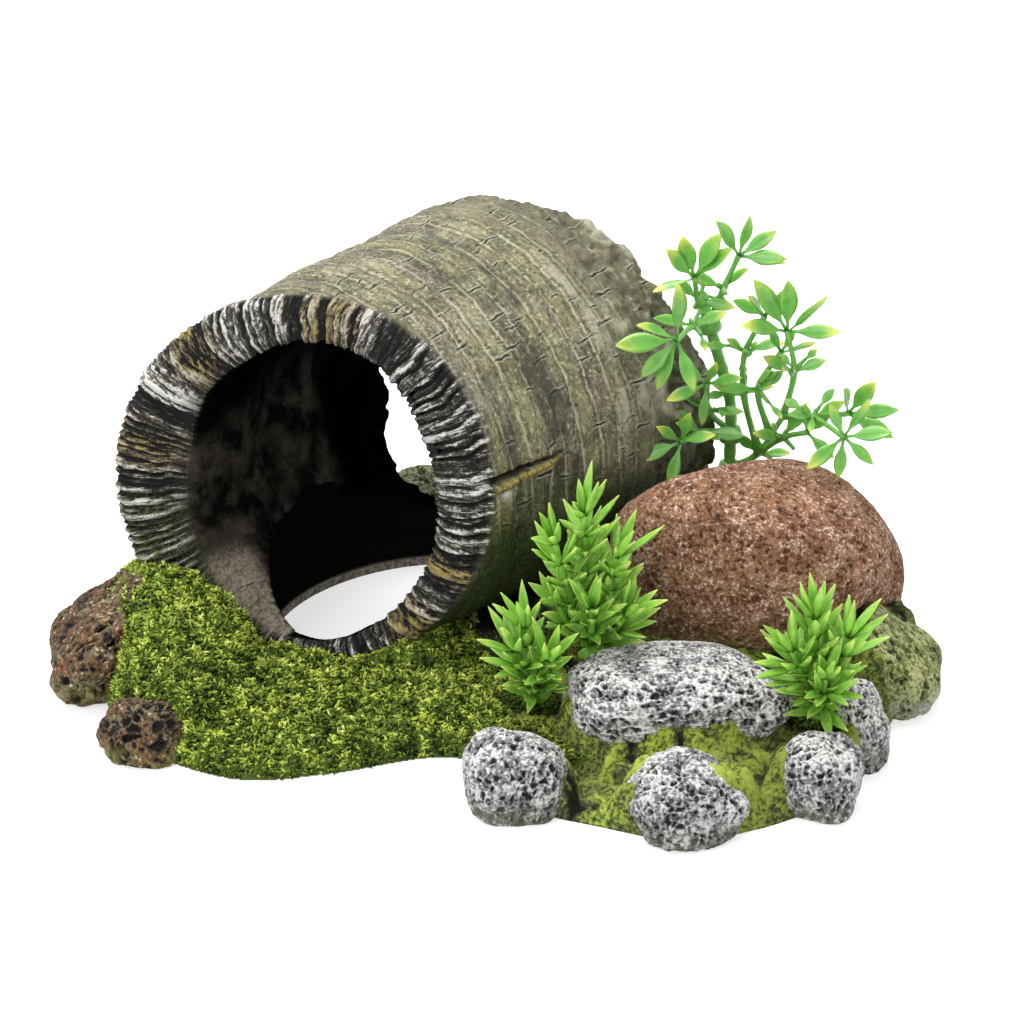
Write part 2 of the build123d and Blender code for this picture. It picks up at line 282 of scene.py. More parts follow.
class Surface:
    """A node material, with short calls for the nodes that the ornament's finishes share."""

    def __init__(self, name, **settings):
        self.material = bpy.data.materials.new(name)
        self.material.use_nodes = True
        self.tree = self.material.node_tree
        self.shader = self.tree.nodes["Principled BSDF"]
        self.place = self.vector("SCALE", self.node("TexCoord").outputs["Object"], scale=1 / MM)
        for socket, value in settings.items():
            self.shader.inputs[socket.replace("_", " ")].default_value = value

    def join(self, value, socket):
        """Links a socket or a Number, or sets a plain value; None leaves the socket alone."""
        value = value.socket if isinstance(value, Number) else value
        if isinstance(value, bpy.types.NodeSocket):
            self.tree.links.new(value, socket)
        elif value is not None:
            colour = socket.type == "RGBA" and len(value) == 3
            socket.default_value = (*value, 1.0) if colour else value

    def node(self, kind, **inputs):
        """A new node with its inputs joined."""
        node = self.tree.nodes.new("ShaderNode" + kind)
        for name, value in inputs.items():
            self.join(value, node.inputs[name])
        return node

    def vector(self, operation, first, second=None, scale=None):
        """The result of a vector math node."""
        node = self.node("VectorMath")
        node.operation = operation
        for value, socket in ((first, 0), (second, 1), (scale, "Scale")):
            if value is not None:
                self.join(value, node.inputs[socket])
        return node.outputs["Vector"]

    def along(self, direction, place=None):
        """Millimetres along a direction."""
        node = self.node("VectorMath")
        node.operation = "DOT_PRODUCT"
        self.join(self.place if place is None else place, node.inputs[0])
        self.join(direction, node.inputs[1])
        return Number(self, node.outputs["Value"])

    def math(self, operation, first, second=None):
        """A Number from a math node."""
        node = self.node("Math")
        node.operation = operation
        self.join(first, node.inputs[0])
        self.join(second, node.inputs[1])
        return Number(self, node.outputs[0])

    def value(self, name):
        """One of the numbers that the mesh carries at its points."""
        node = self.node("Attribute")
        node.attribute_name = name
        return Number(self, node.outputs["Fac"])

    def noise(self, size, detail=3.0, rough=0.55, at=None, stretch=None):
        """Noise from 0 to 1 with features about `size` millimetres across."""
        at = self.place if at is None else at
        if stretch is not None:
            at = self.vector("MULTIPLY", at, stretch)
        node = self.node("TexNoise", Vector=at, Scale=1 / size, Detail=detail, Roughness=rough)
        return Number(self, node.outputs["Fac"])

    def mix(self, share, first, second):
        """The first colour, with a share of it replaced by the second."""
        node = self.node("Mix")
        node.data_type = "RGBA"
        for value, socket in zip((share, first, second), (0, 6, 7)):
            self.join(value, node.inputs[socket])
        return node.outputs[2]

    def coats(self, colour, *coats):
        """A colour under coats of paint, each given as its share and its colour."""
        for share, paint in coats:
            colour = self.mix(share, colour, paint)
        return colour

    def finish(self, colour, roughness, relief, depth):
        """Joins the colour, the roughness and a bump of `depth` millimetres."""
        self.join(colour, self.shader.inputs["Base Color"])
        self.join(roughness, self.shader.inputs["Roughness"])
        bump = self.node("Bump", Strength=1.0, Distance=depth * MM, Height=relief)
        self.join(bump.outputs["Normal"], self.shader.inputs["Normal"])
        return self.material


def log_finish(name, specular):
    """Near-black bore (painted shade); mouth fibres with black gaps (painted shade) and pale tops
    (dry-brushed paint with a painted highlight); mottled olive bark. All blended by the mesh's values.
    """
    s = Surface(name, Specular_IOR_Level=specular)
    offset = s.vector("SUBTRACT", s.place, tuple(LOG_START))
    distance, across, height = (s.along(tuple(axis), offset) for axis in (along, right, upward))
    arc = s.math("ARCTAN2", across, height) * LOG_RADIUS
    reach = s.math("SQRT", across * across + height * height)
    unrolled = s.node("CombineXYZ", X=arc, Y=distance, Z=reach).outputs[0]
    relief = s.value("relief")
    blotch = s.noise(9, 4)
    grain = s.noise(0.8, 4, 0.7)
    wander = s.noise(14, 3)
    crisp = grain.ramp(0.35, 0.65)

    # Mouth: black gaps that are painted shade, grey-brown fibres, and pale tops that are dry-brushed paint
    # with a painted highlight
    fibre = s.noise(0.5, 5, 0.7, at=unrolled, stretch=(1, 0.10, 0.10))
    chips = s.noise(0.9, 4, 0.7)
    tone = relief * 0.9 + (fibre - 0.5) * 2.2 + (chips - 0.5) * 1.3
    rim = s.coats(
        (0.004, 0.004, 0.004),
        (tone.ramp(0.20, 0.46), (0.055, 0.05, 0.04)),
        (tone.ramp(0.42, 0.74), (0.19, 0.18, 0.15)),
        (tone.ramp(0.59, 0.88), (0.84, 0.82, 0.78)),
        (s.value("ochre") * tone.ramp(0.3, 0.7), s.mix(fibre, (0.14, 0.10, 0.015), (0.62, 0.47, 0.14))),
        (s.value("mossy") * chips.ramp(0.5, 0.6), (0.13, 0.19, 0.03)),
    )

    # Bore: near-black painted shade, a mottled grey-brown bulge low on the left and a pale patch by the
    # window
    ash = s.mix(s.noise(6, 4).ramp(0.35, 0.7), (0.004, 0.004, 0.0035), (0.06, 0.052, 0.042))
    wall = s.coats(
        (0.0008, 0.0008, 0.0008),
        (blotch.ramp(0.4, 0.8), (0.004, 0.0035, 0.003)),
        (s.value("ash") * wander.ramp(0.25, 0.6, 0.25, 0.9), ash),
        (s.value("pale"), s.mix(grain.ramp(0.35, 0.6), (0.13, 0.105, 0.08), (0.32, 0.28, 0.22))),
    )

    # Bark: bands round the log, thin cream lines, flecks and short lengthwise cracks with pale borders
    band = s.noise(6, 3, at=unrolled, stretch=(0.10, 1, 0))
    ring_side = abs(s.math("FRACT", (distance + wander * 4) / 5.3) - 0.5)
    ring = ring_side.ramp(0.075, 0.0) * s.noise(11, 2, at=unrolled, stretch=(0.6, 1, 0)).ramp(0.34, 0.54)
    scratch = s.noise(0.7, 4, 0.7, at=unrolled, stretch=(0.14, 1, 0))
    fleck = s.noise(1.0, 4, 0.8)
    rot = s.mix(fleck, (0.03, 0.03, 0.015), (0.24, 0.225, 0.14))
    crack, border = cracks(s, unrolled)
    bark = s.coats(
        (0.185, 0.16, 0.115),
        (band.ramp(0.38, 0.58), (0.265, 0.26, 0.125)),
        (blotch.ramp(0.45, 0.62, 0, 0.8), (0.125, 0.125, 0.065)),
        (s.noise(15, 3).ramp(0.5, 0.68, 0, 0.8), (0.36, 0.345, 0.23)),
        (relief.ramp(0.44, 0.12, 0, 0.42), (0.05, 0.045, 0.028)),
        (relief.ramp(0.60, 0.88, 0, 0.55), (0.50, 0.48, 0.34)),
        (s.value("gold"), (0.30, 0.26, 0.045)),
        (ring_side.ramp(0.06, 0.16) * ring_side.ramp(0.30, 0.16) * 0.5, (0.07, 0.065, 0.04)),
        (scratch.ramp(0.55, 0.70, 0, 0.7), (0.56, 0.53, 0.37)),
        (scratch.ramp(0.45, 0.32, 0, 0.8), (0.04, 0.038, 0.02)),
        (ring * 0.78, (0.60, 0.57, 0.40)),
        (fleck.ramp(0.55, 0.66, 0, 0.85), (0.64, 0.61, 0.45)),
        (fleck.ramp(0.47, 0.37, 0, 0.85), (0.03, 0.03, 0.014)),
        (s.value("old") * s.noise(2.0, 4, 0.7).ramp(0.36, 0.56), rot),
        (s.value("white_spot"), (0.8, 0.8, 0.78)),
        (border * 0.5, (0.62, 0.60, 0.46)),
        (crack, (0.012, 0.011, 0.007)),
        (relief.ramp(0.4, 0.0, 0, 0.8), (0.03, 0.03, 0.02)),
        (relief.ramp(0.7, 1.0, 0, 0.5), (0.58, 0.55, 0.42)),
        # Painted shade, tinted green, low on the log's right side
        (s.value("underside_shade"), s.mix(crisp, (0.008, 0.013, 0.003), (0.07, 0.10, 0.018))),
        (s.value("lip"), s.mix(crisp, (0.10, 0.08, 0.01), (0.50, 0.40, 0.08))),
        (s.value("crack"), (0.006, 0.005, 0.004)),
    )
    colour = s.mix(s.value("inside"), s.mix(s.value("mouth"), bark, rim), wall)
    bark_bumps = scratch * 0.8 + fleck * 1.1 + ring * 0.35 + border * 0.3 - crack
    bumps = s.mix(s.value("mouth"), bark_bumps, fibre * 2 + chips * 1.2)
    return s.finish(colour, s.value("inside").ramp(0, 1, 0.6, 0.55), bumps, 0.7)


def cracks(s, unrolled):
    """Short cracks along the log, a few to each ring: the crack itself and its pale border."""
    colour_noise = s.node("TexNoise", Vector=s.place, Scale=1 / 3).outputs["Color"]
    wobble = s.vector("SCALE", s.vector("SUBTRACT", colour_noise, (0.5, 0.5, 0.5)), scale=2.4)
    place = s.vector("MULTIPLY", s.vector("ADD", unrolled, wobble), (1, 0.8, 0))
    nearest = s.node("TexVoronoi", Vector=place, Scale=1 / 7.0).outputs["Position"]
    offset = s.vector("SUBTRACT", place, nearest)
    side, run = abs(s.along((1, 0, 0), offset)), abs(s.along((0, 1, 0), offset))
    share = run.ramp(2.6, 1.0) * s.noise(9, 2).ramp(0.46, 0.56)
    return side.ramp(0.26, 0.08) * share, side.ramp(0.2, 0.4) * side.ramp(0.85, 0.45) * share


def window_finish():
    """Sawn wall of the floor window, near-black for painted shade, with a thin grey band at its foot."""
    s = Surface("window_edge_look", Specular_IOR_Level=0.0)
    grain = s.noise(1.2, 4, 0.65)
    # Near-black painted shade on the sawn wall
    soot = s.mix(grain, (0.001, 0.001, 0.001), (0.005, 0.0045, 0.004))
    grey = s.mix(grain.ramp(0.35, 0.65), (0.06, 0.055, 0.045), (0.22, 0.20, 0.16))
    foot = (s.along(UP) + grain * 1.5).ramp(3.6, 2.6)
    return s.finish(s.mix(foot, soot, grey), 0.7, grain, 0.4)


def pitted_finish(name, dark, middle, light, pit_size, stain):
    """Cast stone with dark pits and pale dry-brushed ridges; `stain` is a pair of colours that creeps up."""
    s = Surface(name, Specular_IOR_Level=0.3)
    pores = Number(s, s.node("TexVoronoi", Vector=s.place, Scale=1 / pit_size).outputs["Distance"])
    grain = s.noise(pit_size * 0.75, 4, 0.6)
    tone = s.value("relief") + (grain - 0.5) * 1.5 + (pores - 0.45) * 0.5
    colour = s.coats(
        dark,
        (tone.ramp(0.28, 0.62), middle),
        (tone.ramp(0.66, 1.12), light),
        # Painted shade: darker towards the ground, below about 18 mm
        (s.along(UP).ramp(18, 6, 0, 0.24), dark),
        (s.value("stain") * s.noise(2.2, 4).ramp(0.35, 0.6), s.mix(grain, *stain)),
    )
    return s.finish(colour, 0.7, grain + pores * 0.8, 0.45)


def brown_finish():
    """Reddish-brown gritty stone with pale specks and small dark pits."""
    s = Surface("brown_stone_look", Specular_IOR_Level=0.25)
    grain = s.noise(1.0, 5, 0.78)
    speck = s.noise(0.6, 4, 0.78)
    tone = s.value("relief") * 0.7 + (grain - 0.5) * 2.5 + (speck - 0.5) * 2.3
    low = s.mix(grain, (0.05, 0.07, 0.012), (0.22, 0.26, 0.05))
    colour = s.coats(
        (0.27, 0.118, 0.06),
        (s.noise(8, 3).ramp(0.35, 0.65), (0.385, 0.19, 0.10)),
        (tone.ramp(0.50, 0.02, 0, 0.9), (0.055, 0.024, 0.014)),
        (tone.ramp(0.64, 1.08), (0.86, 0.70, 0.57)),
        (s.value("stain") * s.noise(4, 4).ramp(0.35, 0.6), low),
    )
    return s.finish(colour, 0.8, grain + speck, 0.7)


def lava_finish():
    """Dark spongy rock with pale, red and brown dry-brushed patches."""
    s = Surface("lava_rock_look", Specular_IOR_Level=0.3)
    grain = s.noise(0.9, 4, 0.65)
    tone = s.value("relief") * 0.85 + (grain - 0.5) * 1.9
    tint = s.coats(
        (0.13, 0.065, 0.026),
        (s.noise(5, 2).ramp(0.45, 0.6), (0.14, 0.115, 0.055)),
        (s.noise(3.2, 2).ramp(0.66, 0.73), (0.40, 0.07, 0.03)),
    )
    low = s.mix(grain, (0.06, 0.06, 0.012), (0.26, 0.24, 0.08))
    colour = s.coats(
        (0.004, 0.003, 0.002),
        (tone.ramp(0.4, 0.68), (0.035, 0.022, 0.012)),
        (tone.ramp(0.6, 0.85), tint),
        (tone.ramp(0.97, 1.19), (0.62, 0.55, 0.38)),
        (s.value("stain") * s.noise(3, 4).ramp(0.4, 0.6), low),
    )
    return s.finish(colour, 0.65, grain, 0.5)


def base_finish():
    """Dark green-grey resin with bright yellow-green paint on its lumps."""
    s = Surface("base_resin_look", Specular_IOR_Level=0.15)
    grain = s.noise(1.0, 4, 0.65)
    lump = s.value("relief")
    green = s.coats(
        (0.06, 0.10, 0.012),
        (grain.ramp(0.35, 0.62), (0.40, 0.51, 0.07)),
        (lump.ramp(0.55, 0.9, 0, 0.7), (0.52, 0.62, 0.10)),
    )
    share = lump * 0.6 + (s.noise(6, 3) - 0.5) * 0.9 + (s.noise(2.0, 4, 0.7) - 0.5) * 1.6
    foot = (s.along(UP) + grain * 1.5).ramp(3.4, 2.4)
    grey = s.mix(grain.ramp(0.35, 0.65), (0.05, 0.045, 0.035), (0.20, 0.18, 0.14))
    colour = s.coats(
        (0.024, 0.028, 0.012),
        (grain.ramp(0.3, 0.65), (0.11, 0.12, 0.055)),
        (s.value("paint") * share.ramp(-0.04, 0.44), green),
        # Painted shade: darker towards +x (the right), from x 38 to 62 mm
        (s.along((1, 0, 0)).ramp(38, 62, 0, 0.42), (0.024, 0.028, 0.012)),
        (s.value("dust") * grain.ramp(0.52, 0.7), (0.46, 0.45, 0.38)),
        (lump.ramp(0.3, 0.0), (0.008, 0.009, 0.005)),
        # Painted shade round the floor window under the log, with a grey band at its foot
        (s.value("soot"), s.mix(foot, (0.001, 0.001, 0.001), grey)),
    )
    return s.finish(colour, 0.8, grain, 1.1)


def moss_finish():
    """Curly moss: black gaps that are painted shade, mid green body, and yellow-green tips, their own colour
    with a painted highlight.
    """
    s = Surface("moss_look", Specular_IOR_Level=0.1)
    grain = s.noise(0.7, 3, 0.65)
    tone = s.value("relief") + (grain - 0.5) * 0.7
    colour = s.coats(
        # The near-black base is painted shade; the palest tone on the highest places is partly painted
        # highlight
        (0.008, 0.012, 0.003),
        (tone.ramp(0.12, 0.5), (0.105, 0.155, 0.02)),
        (tone.ramp(0.48, 0.85), s.mix(s.noise(11, 2).ramp(0.4, 0.6), (0.46, 0.56, 0.08), (0.30, 0.38, 0.06))),
        (tone.ramp(0.88, 1.15), (0.66, 0.72, 0.20)),
    )
    return s.finish(colour, 0.75, grain, 0.35)


def plastic_finish(name, root, body, tip, roughness):
    """Soft moulded plastic, paler and yellower towards each leaf's tip."""
    s = Surface(name, Specular_IOR_Level=0.5, Subsurface_Weight=0.25, Subsurface_Scale=0.002,
                Subsurface_Radius=(0.5, 1.0, 0.2))
    reach = s.value("reach")
    colour = s.coats(
        root,
        (reach.ramp(0.0, 0.3), body),
        (reach.ramp(0.55, 1.0) * s.value("tone"), tip),
        (s.noise(3, 2).ramp(0.35, 0.7, 0, 0.35), root),
    )
    return s.finish(colour, roughness, s.noise(1.2, 2), 0.06)


# ---------------------------------------------------------------- log
AROUND = 660                                # points round the log
MOUTH_ROWS, BARK_ROWS, END_ROWS, BORE_ROWS = 30, 84, 8, 28
RIDGE_WIDTHS = (1.0, 2.7)
FIBRE_WIDTHS = (0.7, 1.5)
RIDGE_RADIUS = 38.0                         # where those widths hold
RIDGE_DEPTH = 1.05
# Patches on the mouth's fibres: angle from the top towards the right, and spread, in degrees
OCHRE_PATCHES = [(-43, 7), (5, 8), (-83, 7), (111, 4), (133, 6)]
SPLIT = {"angle": 80.9, "start": 19.0, "end": 43.0, "width": 1.5, "depth": 2.8}


def bore_radius(angle, distance):
    """From the log's axis to the bore's wall."""
    stations = [oval[0] for oval in BORE_OVALS]
    shift, lift, half_width, half_height = (
        np.interp(distance, stations, [oval[k] for oval in BORE_OVALS]) for k in range(1, 5))
    squares = (np.sin(angle) / half_width) ** 2 + (np.cos(angle) / half_height) ** 2
    slope = np.sin(angle) * shift / half_width ** 2 + np.cos(angle) * lift / half_height ** 2
    rest = (shift / half_width) ** 2 + (lift / half_height) ** 2 - 1
    return (slope + np.sqrt(slope ** 2 - squares * rest)) / squares


def strips(place, widths, seed):
    """Random strips round the log: each place's strip, its share across, millimetres to a side; how many."""
    edges = np.cumsum(np.random.default_rng(seed).uniform(*widths, 500)) / RIDGE_RADIUS
    count = int(np.searchsorted(edges, 2 * pi))
    edges = np.concatenate([[0], edges[:count] * 2 * pi / edges[count - 1]])
    index = np.clip(np.searchsorted(edges, place, side="right") - 1, 0, count - 1)
    width = edges[index + 1] - edges[index]
    share = (place - edges[index]) / width
    return index, share, np.minimum(share, 1 - share) * width * RIDGE_RADIUS, count


def mouth_ridges(angle, radius):
    """Height of the mouth's torn radial fibres, from about -1 in the deepest gaps to 1 on the highest."""
    radius = radius + 0 * angle
    wander = 0.055 * lumps(flat(angle * 8, radius * 0.8), 6, 21, 2)
    place = np.mod(angle + pi + wander, 2 * pi)
    random = np.random.default_rng(12)
    index, share, side, count = strips(place, RIDGE_WIDTHS, 11)
    tall = random.uniform(0.15, 1.0, count)
    gap = np.where(random.random(count + 1) < 0.45, 1.0, 0.35)
    gap[-1] = gap[0]
    notch = np.where(share < 0.5, gap[index], gap[index + 1]) * np.exp(-(side / 0.55) ** 2)
    tilt = random.uniform(-0.5, 0.5, count)[index] * (share - 0.5)
    fine_index, _, fine_side, fine_count = strips(place, FIBRE_WIDTHS, 13)
    fine = random.uniform(-0.3, 0.3, fine_count)[fine_index] - 0.35 * np.exp(-(fine_side / 0.3) ** 2)
    broken = lumps(flat(index * 5.3 + angle * 6, radius), 3.0, 23, 3)
    flake = lumps(flat(angle * RIDGE_RADIUS * 1.4, radius * 0.5), 1.1, 25, 2)
    crown = tall[index] * (1 - 0.5 * np.abs(2 * share - 1) ** 3)
    return crown + tilt + fine + 0.6 * broken + 0.3 * flake - 1.5 * notch


def front_of(angle, radius):
    """How far along the slanted mouth lies."""
    return radius * (FRONT_SLOPE[0] * np.sin(angle) + FRONT_SLOPE[1] * np.cos(angle))


def back_of(angle, radius):
    """The far end: two slopes, broken off in uneven lumps."""
    ends = [LOG_LENGTH + radius * (a * np.sin(angle) + b * np.cos(angle)) for a, b in BACK_SLOPES]
    rough = flat(angle * LOG_RADIUS, radius)
    notch = 10.5 * smooth_step(-103, -134, np.degrees(angle)) * smooth_step(-180, -155, np.degrees(angle))
    ends = [end - notch for end in ends]
    return np.minimum(*ends) - 1.0 + 1.3 * lumps(rough, 8, 31, 2) + 1.5 * lumps(rough, 2.6, 33, 2)


def round_place(angle, radius, distance):
    """Points round the log for the noise: right, up and along."""
    return np.stack([np.sin(angle) * radius, np.cos(angle) * radius, distance + 0 * angle], axis=-1)


def bark_relief(angle, distance, radius):
    """Rings round the log, broad bands, knobs and fine grain, in millimetres."""
    place = round_place(angle, radius, distance)
    wander = 1.6 * lumps(place, 22, 41, 2)
    ring = lumps(flat(distance + wander, angle * 3), 3.4, 43, 2)
    band = lumps(flat(distance + wander, angle * 2), 12.0, 45)
    knobs = lumps(place, 9.0, 47, 3)
    fine = lumps(place * (0.35, 0.35, 1), 1.3, 49, 2)
    far_end = smooth_step(62, 80, distance)
    crumbly = far_end * (1.7 * lumps(place, 5, 51, 3) + 1.3 * lumps(place, 2.2, 53, 2))
    return 0.75 * ring + 0.5 * band + 0.5 * knobs + 0.42 * fine + crumbly


def bulge_end(degrees):
    """How far in from the mouth the rough swelling on the bore's left wall reaches."""
    return 24 + 16 * smooth_step(-146, -128, degrees)


# The log's skin is four bands of rows; each row runs right round it and carries these values:
ROW_VALUES = ("radius", "distance", "relief", "mouth", "inside", "crack", "lip")


def mouth_band(angle, edge):
    """Torn fibres, from the bore's edge out to the bark."""
    share = np.linspace(0, 1, MOUTH_ROWS)[:, None]
    radius = edge + (LOG_RADIUS - edge) * share
    ridge = mouth_ridges(angle, radius)
    rounding = 1.5 * share ** 7 + 1.4 * (1 - share) ** 6
    calm = 0.3 + 0.7 * smooth_step(0, 0.25, share) * smooth_step(1, 0.9, share)
    return {
        "radius": radius + 0.4 * ridge * share ** 5 - 0.35 * ridge * (1 - share) ** 5,
        "distance": front_of(angle, radius) + rounding - RIDGE_DEPTH * ridge * calm,
        "relief": 0.5 + 0.5 * ridge,
        "mouth": 1.0,
        "inside": 0.7 * (1 - share) ** 7,
    }


def bark_split(angle, distance, radius):
    """The split beside the mouth, and the raised lip along it, each from 0 to 1."""
    side = (angle - radians(SPLIT["angle"])) * radius
    run = np.clip((SPLIT["end"] - distance) / (SPLIT["end"] - SPLIT["start"]), 0, 1)
    half_width = SPLIT["width"] * run ** 0.6 + 0.01
    jag = 0.5 * lumps(flat(distance, 0 * distance), 2.5, 55, 2)
    cleft = smooth_step(1, 0.25, np.abs(side - jag) / half_width) * (run > 0)
    lip = np.exp(-((side - jag - half_width - 0.7) / 0.75) ** 2) * smooth_step(0, 0.2, run)
    return cleft, lip


def bark_band(angle, back):
    """Bark, from the mouth to the far end."""
    share = (np.linspace(0, 1, BARK_ROWS + 1)[1:, None]) ** 1.12
    front = front_of(angle, LOG_RADIUS) + 1.5
    distance = front + (back - front) * share
    radius = LOG_RADIUS + LOG_FLARE * distance
    near = np.exp(-(distance - front) / 1.1)
    ridge = mouth_ridges(angle, LOG_RADIUS)
    relief = bark_relief(angle, distance, radius)
    cleft, lip = bark_split(angle, distance, radius)
    return {
        "radius": radius + relief * (1 - near) + 0.4 * ridge * near - SPLIT["depth"] * cleft + 0.7 * lip,
        "distance": distance,
        "relief": near * (0.5 + 0.5 * ridge) + (1 - near) * np.clip(0.5 + 0.42 * relief, 0, 1),
        "mouth": near,
        "crack": np.clip(cleft, 0, 1),
        "lip": np.clip(lip, 0, 1),
    }


def end_band(angle, outer, back, inner, inner_back):
    """Broken far end, from the bark in to the bore."""
    share = np.linspace(1, 0, END_ROWS + 2)[1:-1, None]
    radius = inner + (outer - inner) * share
    torn = 1.8 * lumps(round_place(angle, radius, 0 * radius), 4, 57, 3)
    torn = torn * np.minimum(1, 4 * share * (1 - share) + 0.3)
    return {
        "radius": radius,
        "distance": inner_back + (back - inner_back) * share + torn + 1.2 * np.sin(share * pi),
        "relief": np.clip(0.5 + 0.3 * torn, 0, 1),
        "inside": smooth_step(0.6, 0.1, share),
    }


def bore_band(angle, edge, inner_back):
    """Bore, from the far end back to the mouth, with a rough swelling on its left wall."""
    degrees = np.degrees(angle)
    share = np.linspace(1, 0, BORE_ROWS + 1)[:-1, None]
    front = front_of(angle, edge) + 1.4
    distance = front + (inner_back - front) * share ** 1.7
    near = np.exp(-(distance - front) / 0.8)
    radius = bore_radius(angle, distance) + (edge - bore_radius(angle, 0)) * np.exp(-(distance - front) / 5)
    place = round_place(angle, radius, distance)
    swell = 1.3 * lumps(place, 14, 61, 2) + 0.25 * lumps(place, 3.5, 63, 2)
    bulge = smooth_step(70, 30, np.abs(degrees + 122)) * (1 - near)
    bulge *= smooth_step(0, -4, distance - bulge_end(degrees))
    ridge = mouth_ridges(angle, edge)
    return {
        "radius": radius + swell * (1 - near) - 0.35 * ridge * near - 2.6 * bulge,
        "distance": distance,
        "relief": near * (0.5 + 0.5 * ridge) + (1 - near) * np.clip(0.5 + 0.4 * swell, 0, 1),
        "mouth": near,
        "inside": smooth_step(-0.6, 0.5, distance - front),
    }


def log_rows():
    """Angles round the log, and the rows of its four bands joined, one array for each of the row values."""
    angle = np.linspace(-pi, pi, AROUND, endpoint=False)[None, :]
    degrees = np.degrees(angle)
    edge = bore_radius(angle, 0) - 1.9 * np.exp(-((degrees - 58) / 28) ** 2)
    edge += 1.4 * np.exp(-((degrees + 52) / 18) ** 2)
    back = back_of(angle, LOG_RADIUS + LOG_FLARE * LOG_LENGTH)
    inner = bore_radius(angle, back)
    inner_back = back_of(angle, inner)
    bark = bark_band(angle, back)
    bands = [mouth_band(angle, edge), bark, end_band(angle, bark["radius"][-1:], back, inner, inner_back),
             bore_band(angle, edge, inner_back)]
    rows = {key: np.concatenate([np.broadcast_to(band.get(key, 0.0), band["radius"].shape) for band in bands])
            for key in ROW_VALUES}
    return angle + 0 * rows["radius"], rows


def log_patches(points, degrees, distance, mouth, inside):
    """Where the finish's patches lie, each from 0 to 1."""
    outside = 1 - inside
    patch = sum(np.exp(-(((degrees - at) / spread) ** 2)) for at, spread in OCHRE_PATCHES)
    gold = (1 - mouth) * smooth_step(24, 12, np.abs(degrees - 84)) * smooth_step(30, 20, distance)
    # Painted shade low on the right side of the bark, away from the mouth
    underside_shade = (1 - mouth) * smooth_step(84, 106, degrees + 8 * lumps(points, 7, 67, 2))
    return {
        "ochre": np.clip(patch * (0.95 + 0.8 * lumps(points, 5, 65, 2)), 0, 1) * mouth,
        "ash": smooth_step(-55, -95, degrees) * smooth_step(1, -3, distance - bulge_end(degrees)),
        "old": smooth_step(58, 76, distance + 5 * lumps(points, 8, 73, 2)) * outside,
        "mossy": mouth * smooth_step(-96, -114, degrees) * smooth_step(-175, -160, degrees),
        # A small white spot on the bark beside the split
        "white_spot": np.exp(-((distance - 24.2) / 1.3) ** 2 - ((degrees - 85.6) / 1.3) ** 2) * outside,
        "pale": smooth_step(-132, -146, degrees) * smooth_step(3, -3, distance),
        "gold": gold * smooth_step(-0.5, 0.3, lumps(points, 3.5, 69, 2)),
        "underside_shade": np.clip(underside_shade, 0, 1) * outside,
    }


def log_piece():
    """The hollow log: a closed skin with bark and bore finishes and the floor window cut through it."""
    turn, rows = log_rows()
    radius, distance = rows.pop("radius"), rows.pop("distance")
    points = (LOG_START + distance[..., None] * along + (radius * np.sin(turn))[..., None] * right
              + (radius * np.cos(turn))[..., None] * upward)
    values = rows | log_patches(points, np.degrees(turn), distance, rows["mouth"], rows["inside"])
    faces = grid_faces(len(radius), AROUND, close_rows=True, close_columns=True)
    bark = log_finish("log_bark_look", 0.35)
    piece = build("log_shell_look", points.reshape(-1, 3), faces, bark, "cave", values)
    piece.data.materials.append(log_finish("log_bore_look", 0.0))
    slots = np.zeros(len(faces), np.int32)
    slots[AROUND * (MOUTH_ROWS + BARK_ROWS + END_ROWS // 2):-AROUND] = 1
    piece.data.polygons.foreach_set("material_index", slots)
    cut_window(piece)
    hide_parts("log_shell")


def cut_window(piece):
    """Cuts the oval floor window through a piece."""
    steps = 96
    turn = full_turn(steps)
    tilt = pi / 2 - LOG_TURN
    wobble = 1 + 0.02 * lumps(flat(np.cos(turn) * 5, np.sin(turn) * 5), 2, 71, 2)
    x = WINDOW_HALF[0] * np.cos(turn) * wobble
    y = WINDOW_HALF[1] * np.sin(turn) * wobble
    ring = np.stack([window_centre[0] + x * cos(tilt) - y * sin(tilt),
                     window_centre[1] + x * sin(tilt) + y * cos(tilt), 0 * x], axis=-1)
    points = np.concatenate([ring + (0, 0, -5), ring + (0, 0, WINDOW_TOP)])
    cutter = build("window_cutter", points, tube_faces(2, steps), window_material, "cave",
                   {"inside": np.ones(2 * steps)})
    cut = piece.modifiers.new("window", "BOOLEAN")
    cut.operation = "DIFFERENCE"
    cut.solver = "MANIFOLD"
    cut.material_mode = "TRANSFER"
    cut.object = cutter
    bpy.context.view_layer.update()
    whole = bpy.data.meshes.new_from_object(piece.evaluated_get(bpy.context.evaluated_depsgraph_get()))
    piece.modifiers.clear()
    piece.data = whole
    sawn = np.zeros(len(whole.polygons), np.int32)
    whole.polygons.foreach_get("material_index", sawn)
    window = [m.name for m in whole.materials].index(window_material.name)
    whole.polygons.foreach_set("use_smooth", sawn != window)
    inside = whole.attributes["inside"].data
    for face in np.nonzero(sawn == window)[0]:
        for corner in whole.polygons[int(face)].vertices:
            inside[corner].value = 1.0
    bpy.data.objects.remove(cutter)


# ---------------------------------------------------------------- ground
def round_outline(steps):
    """The plate's outline as a smooth closed curve through its points."""
    knots = np.array(PLATE_OUTLINE, float)
    share = (np.arange(steps) / steps * len(knots)) % len(knots)
    index = share.astype(int)
    t = (share - index)[:, None]
    return curve(*(knots[(index + k) % len(knots)] for k in (-1, 0, 1, 2)), t)


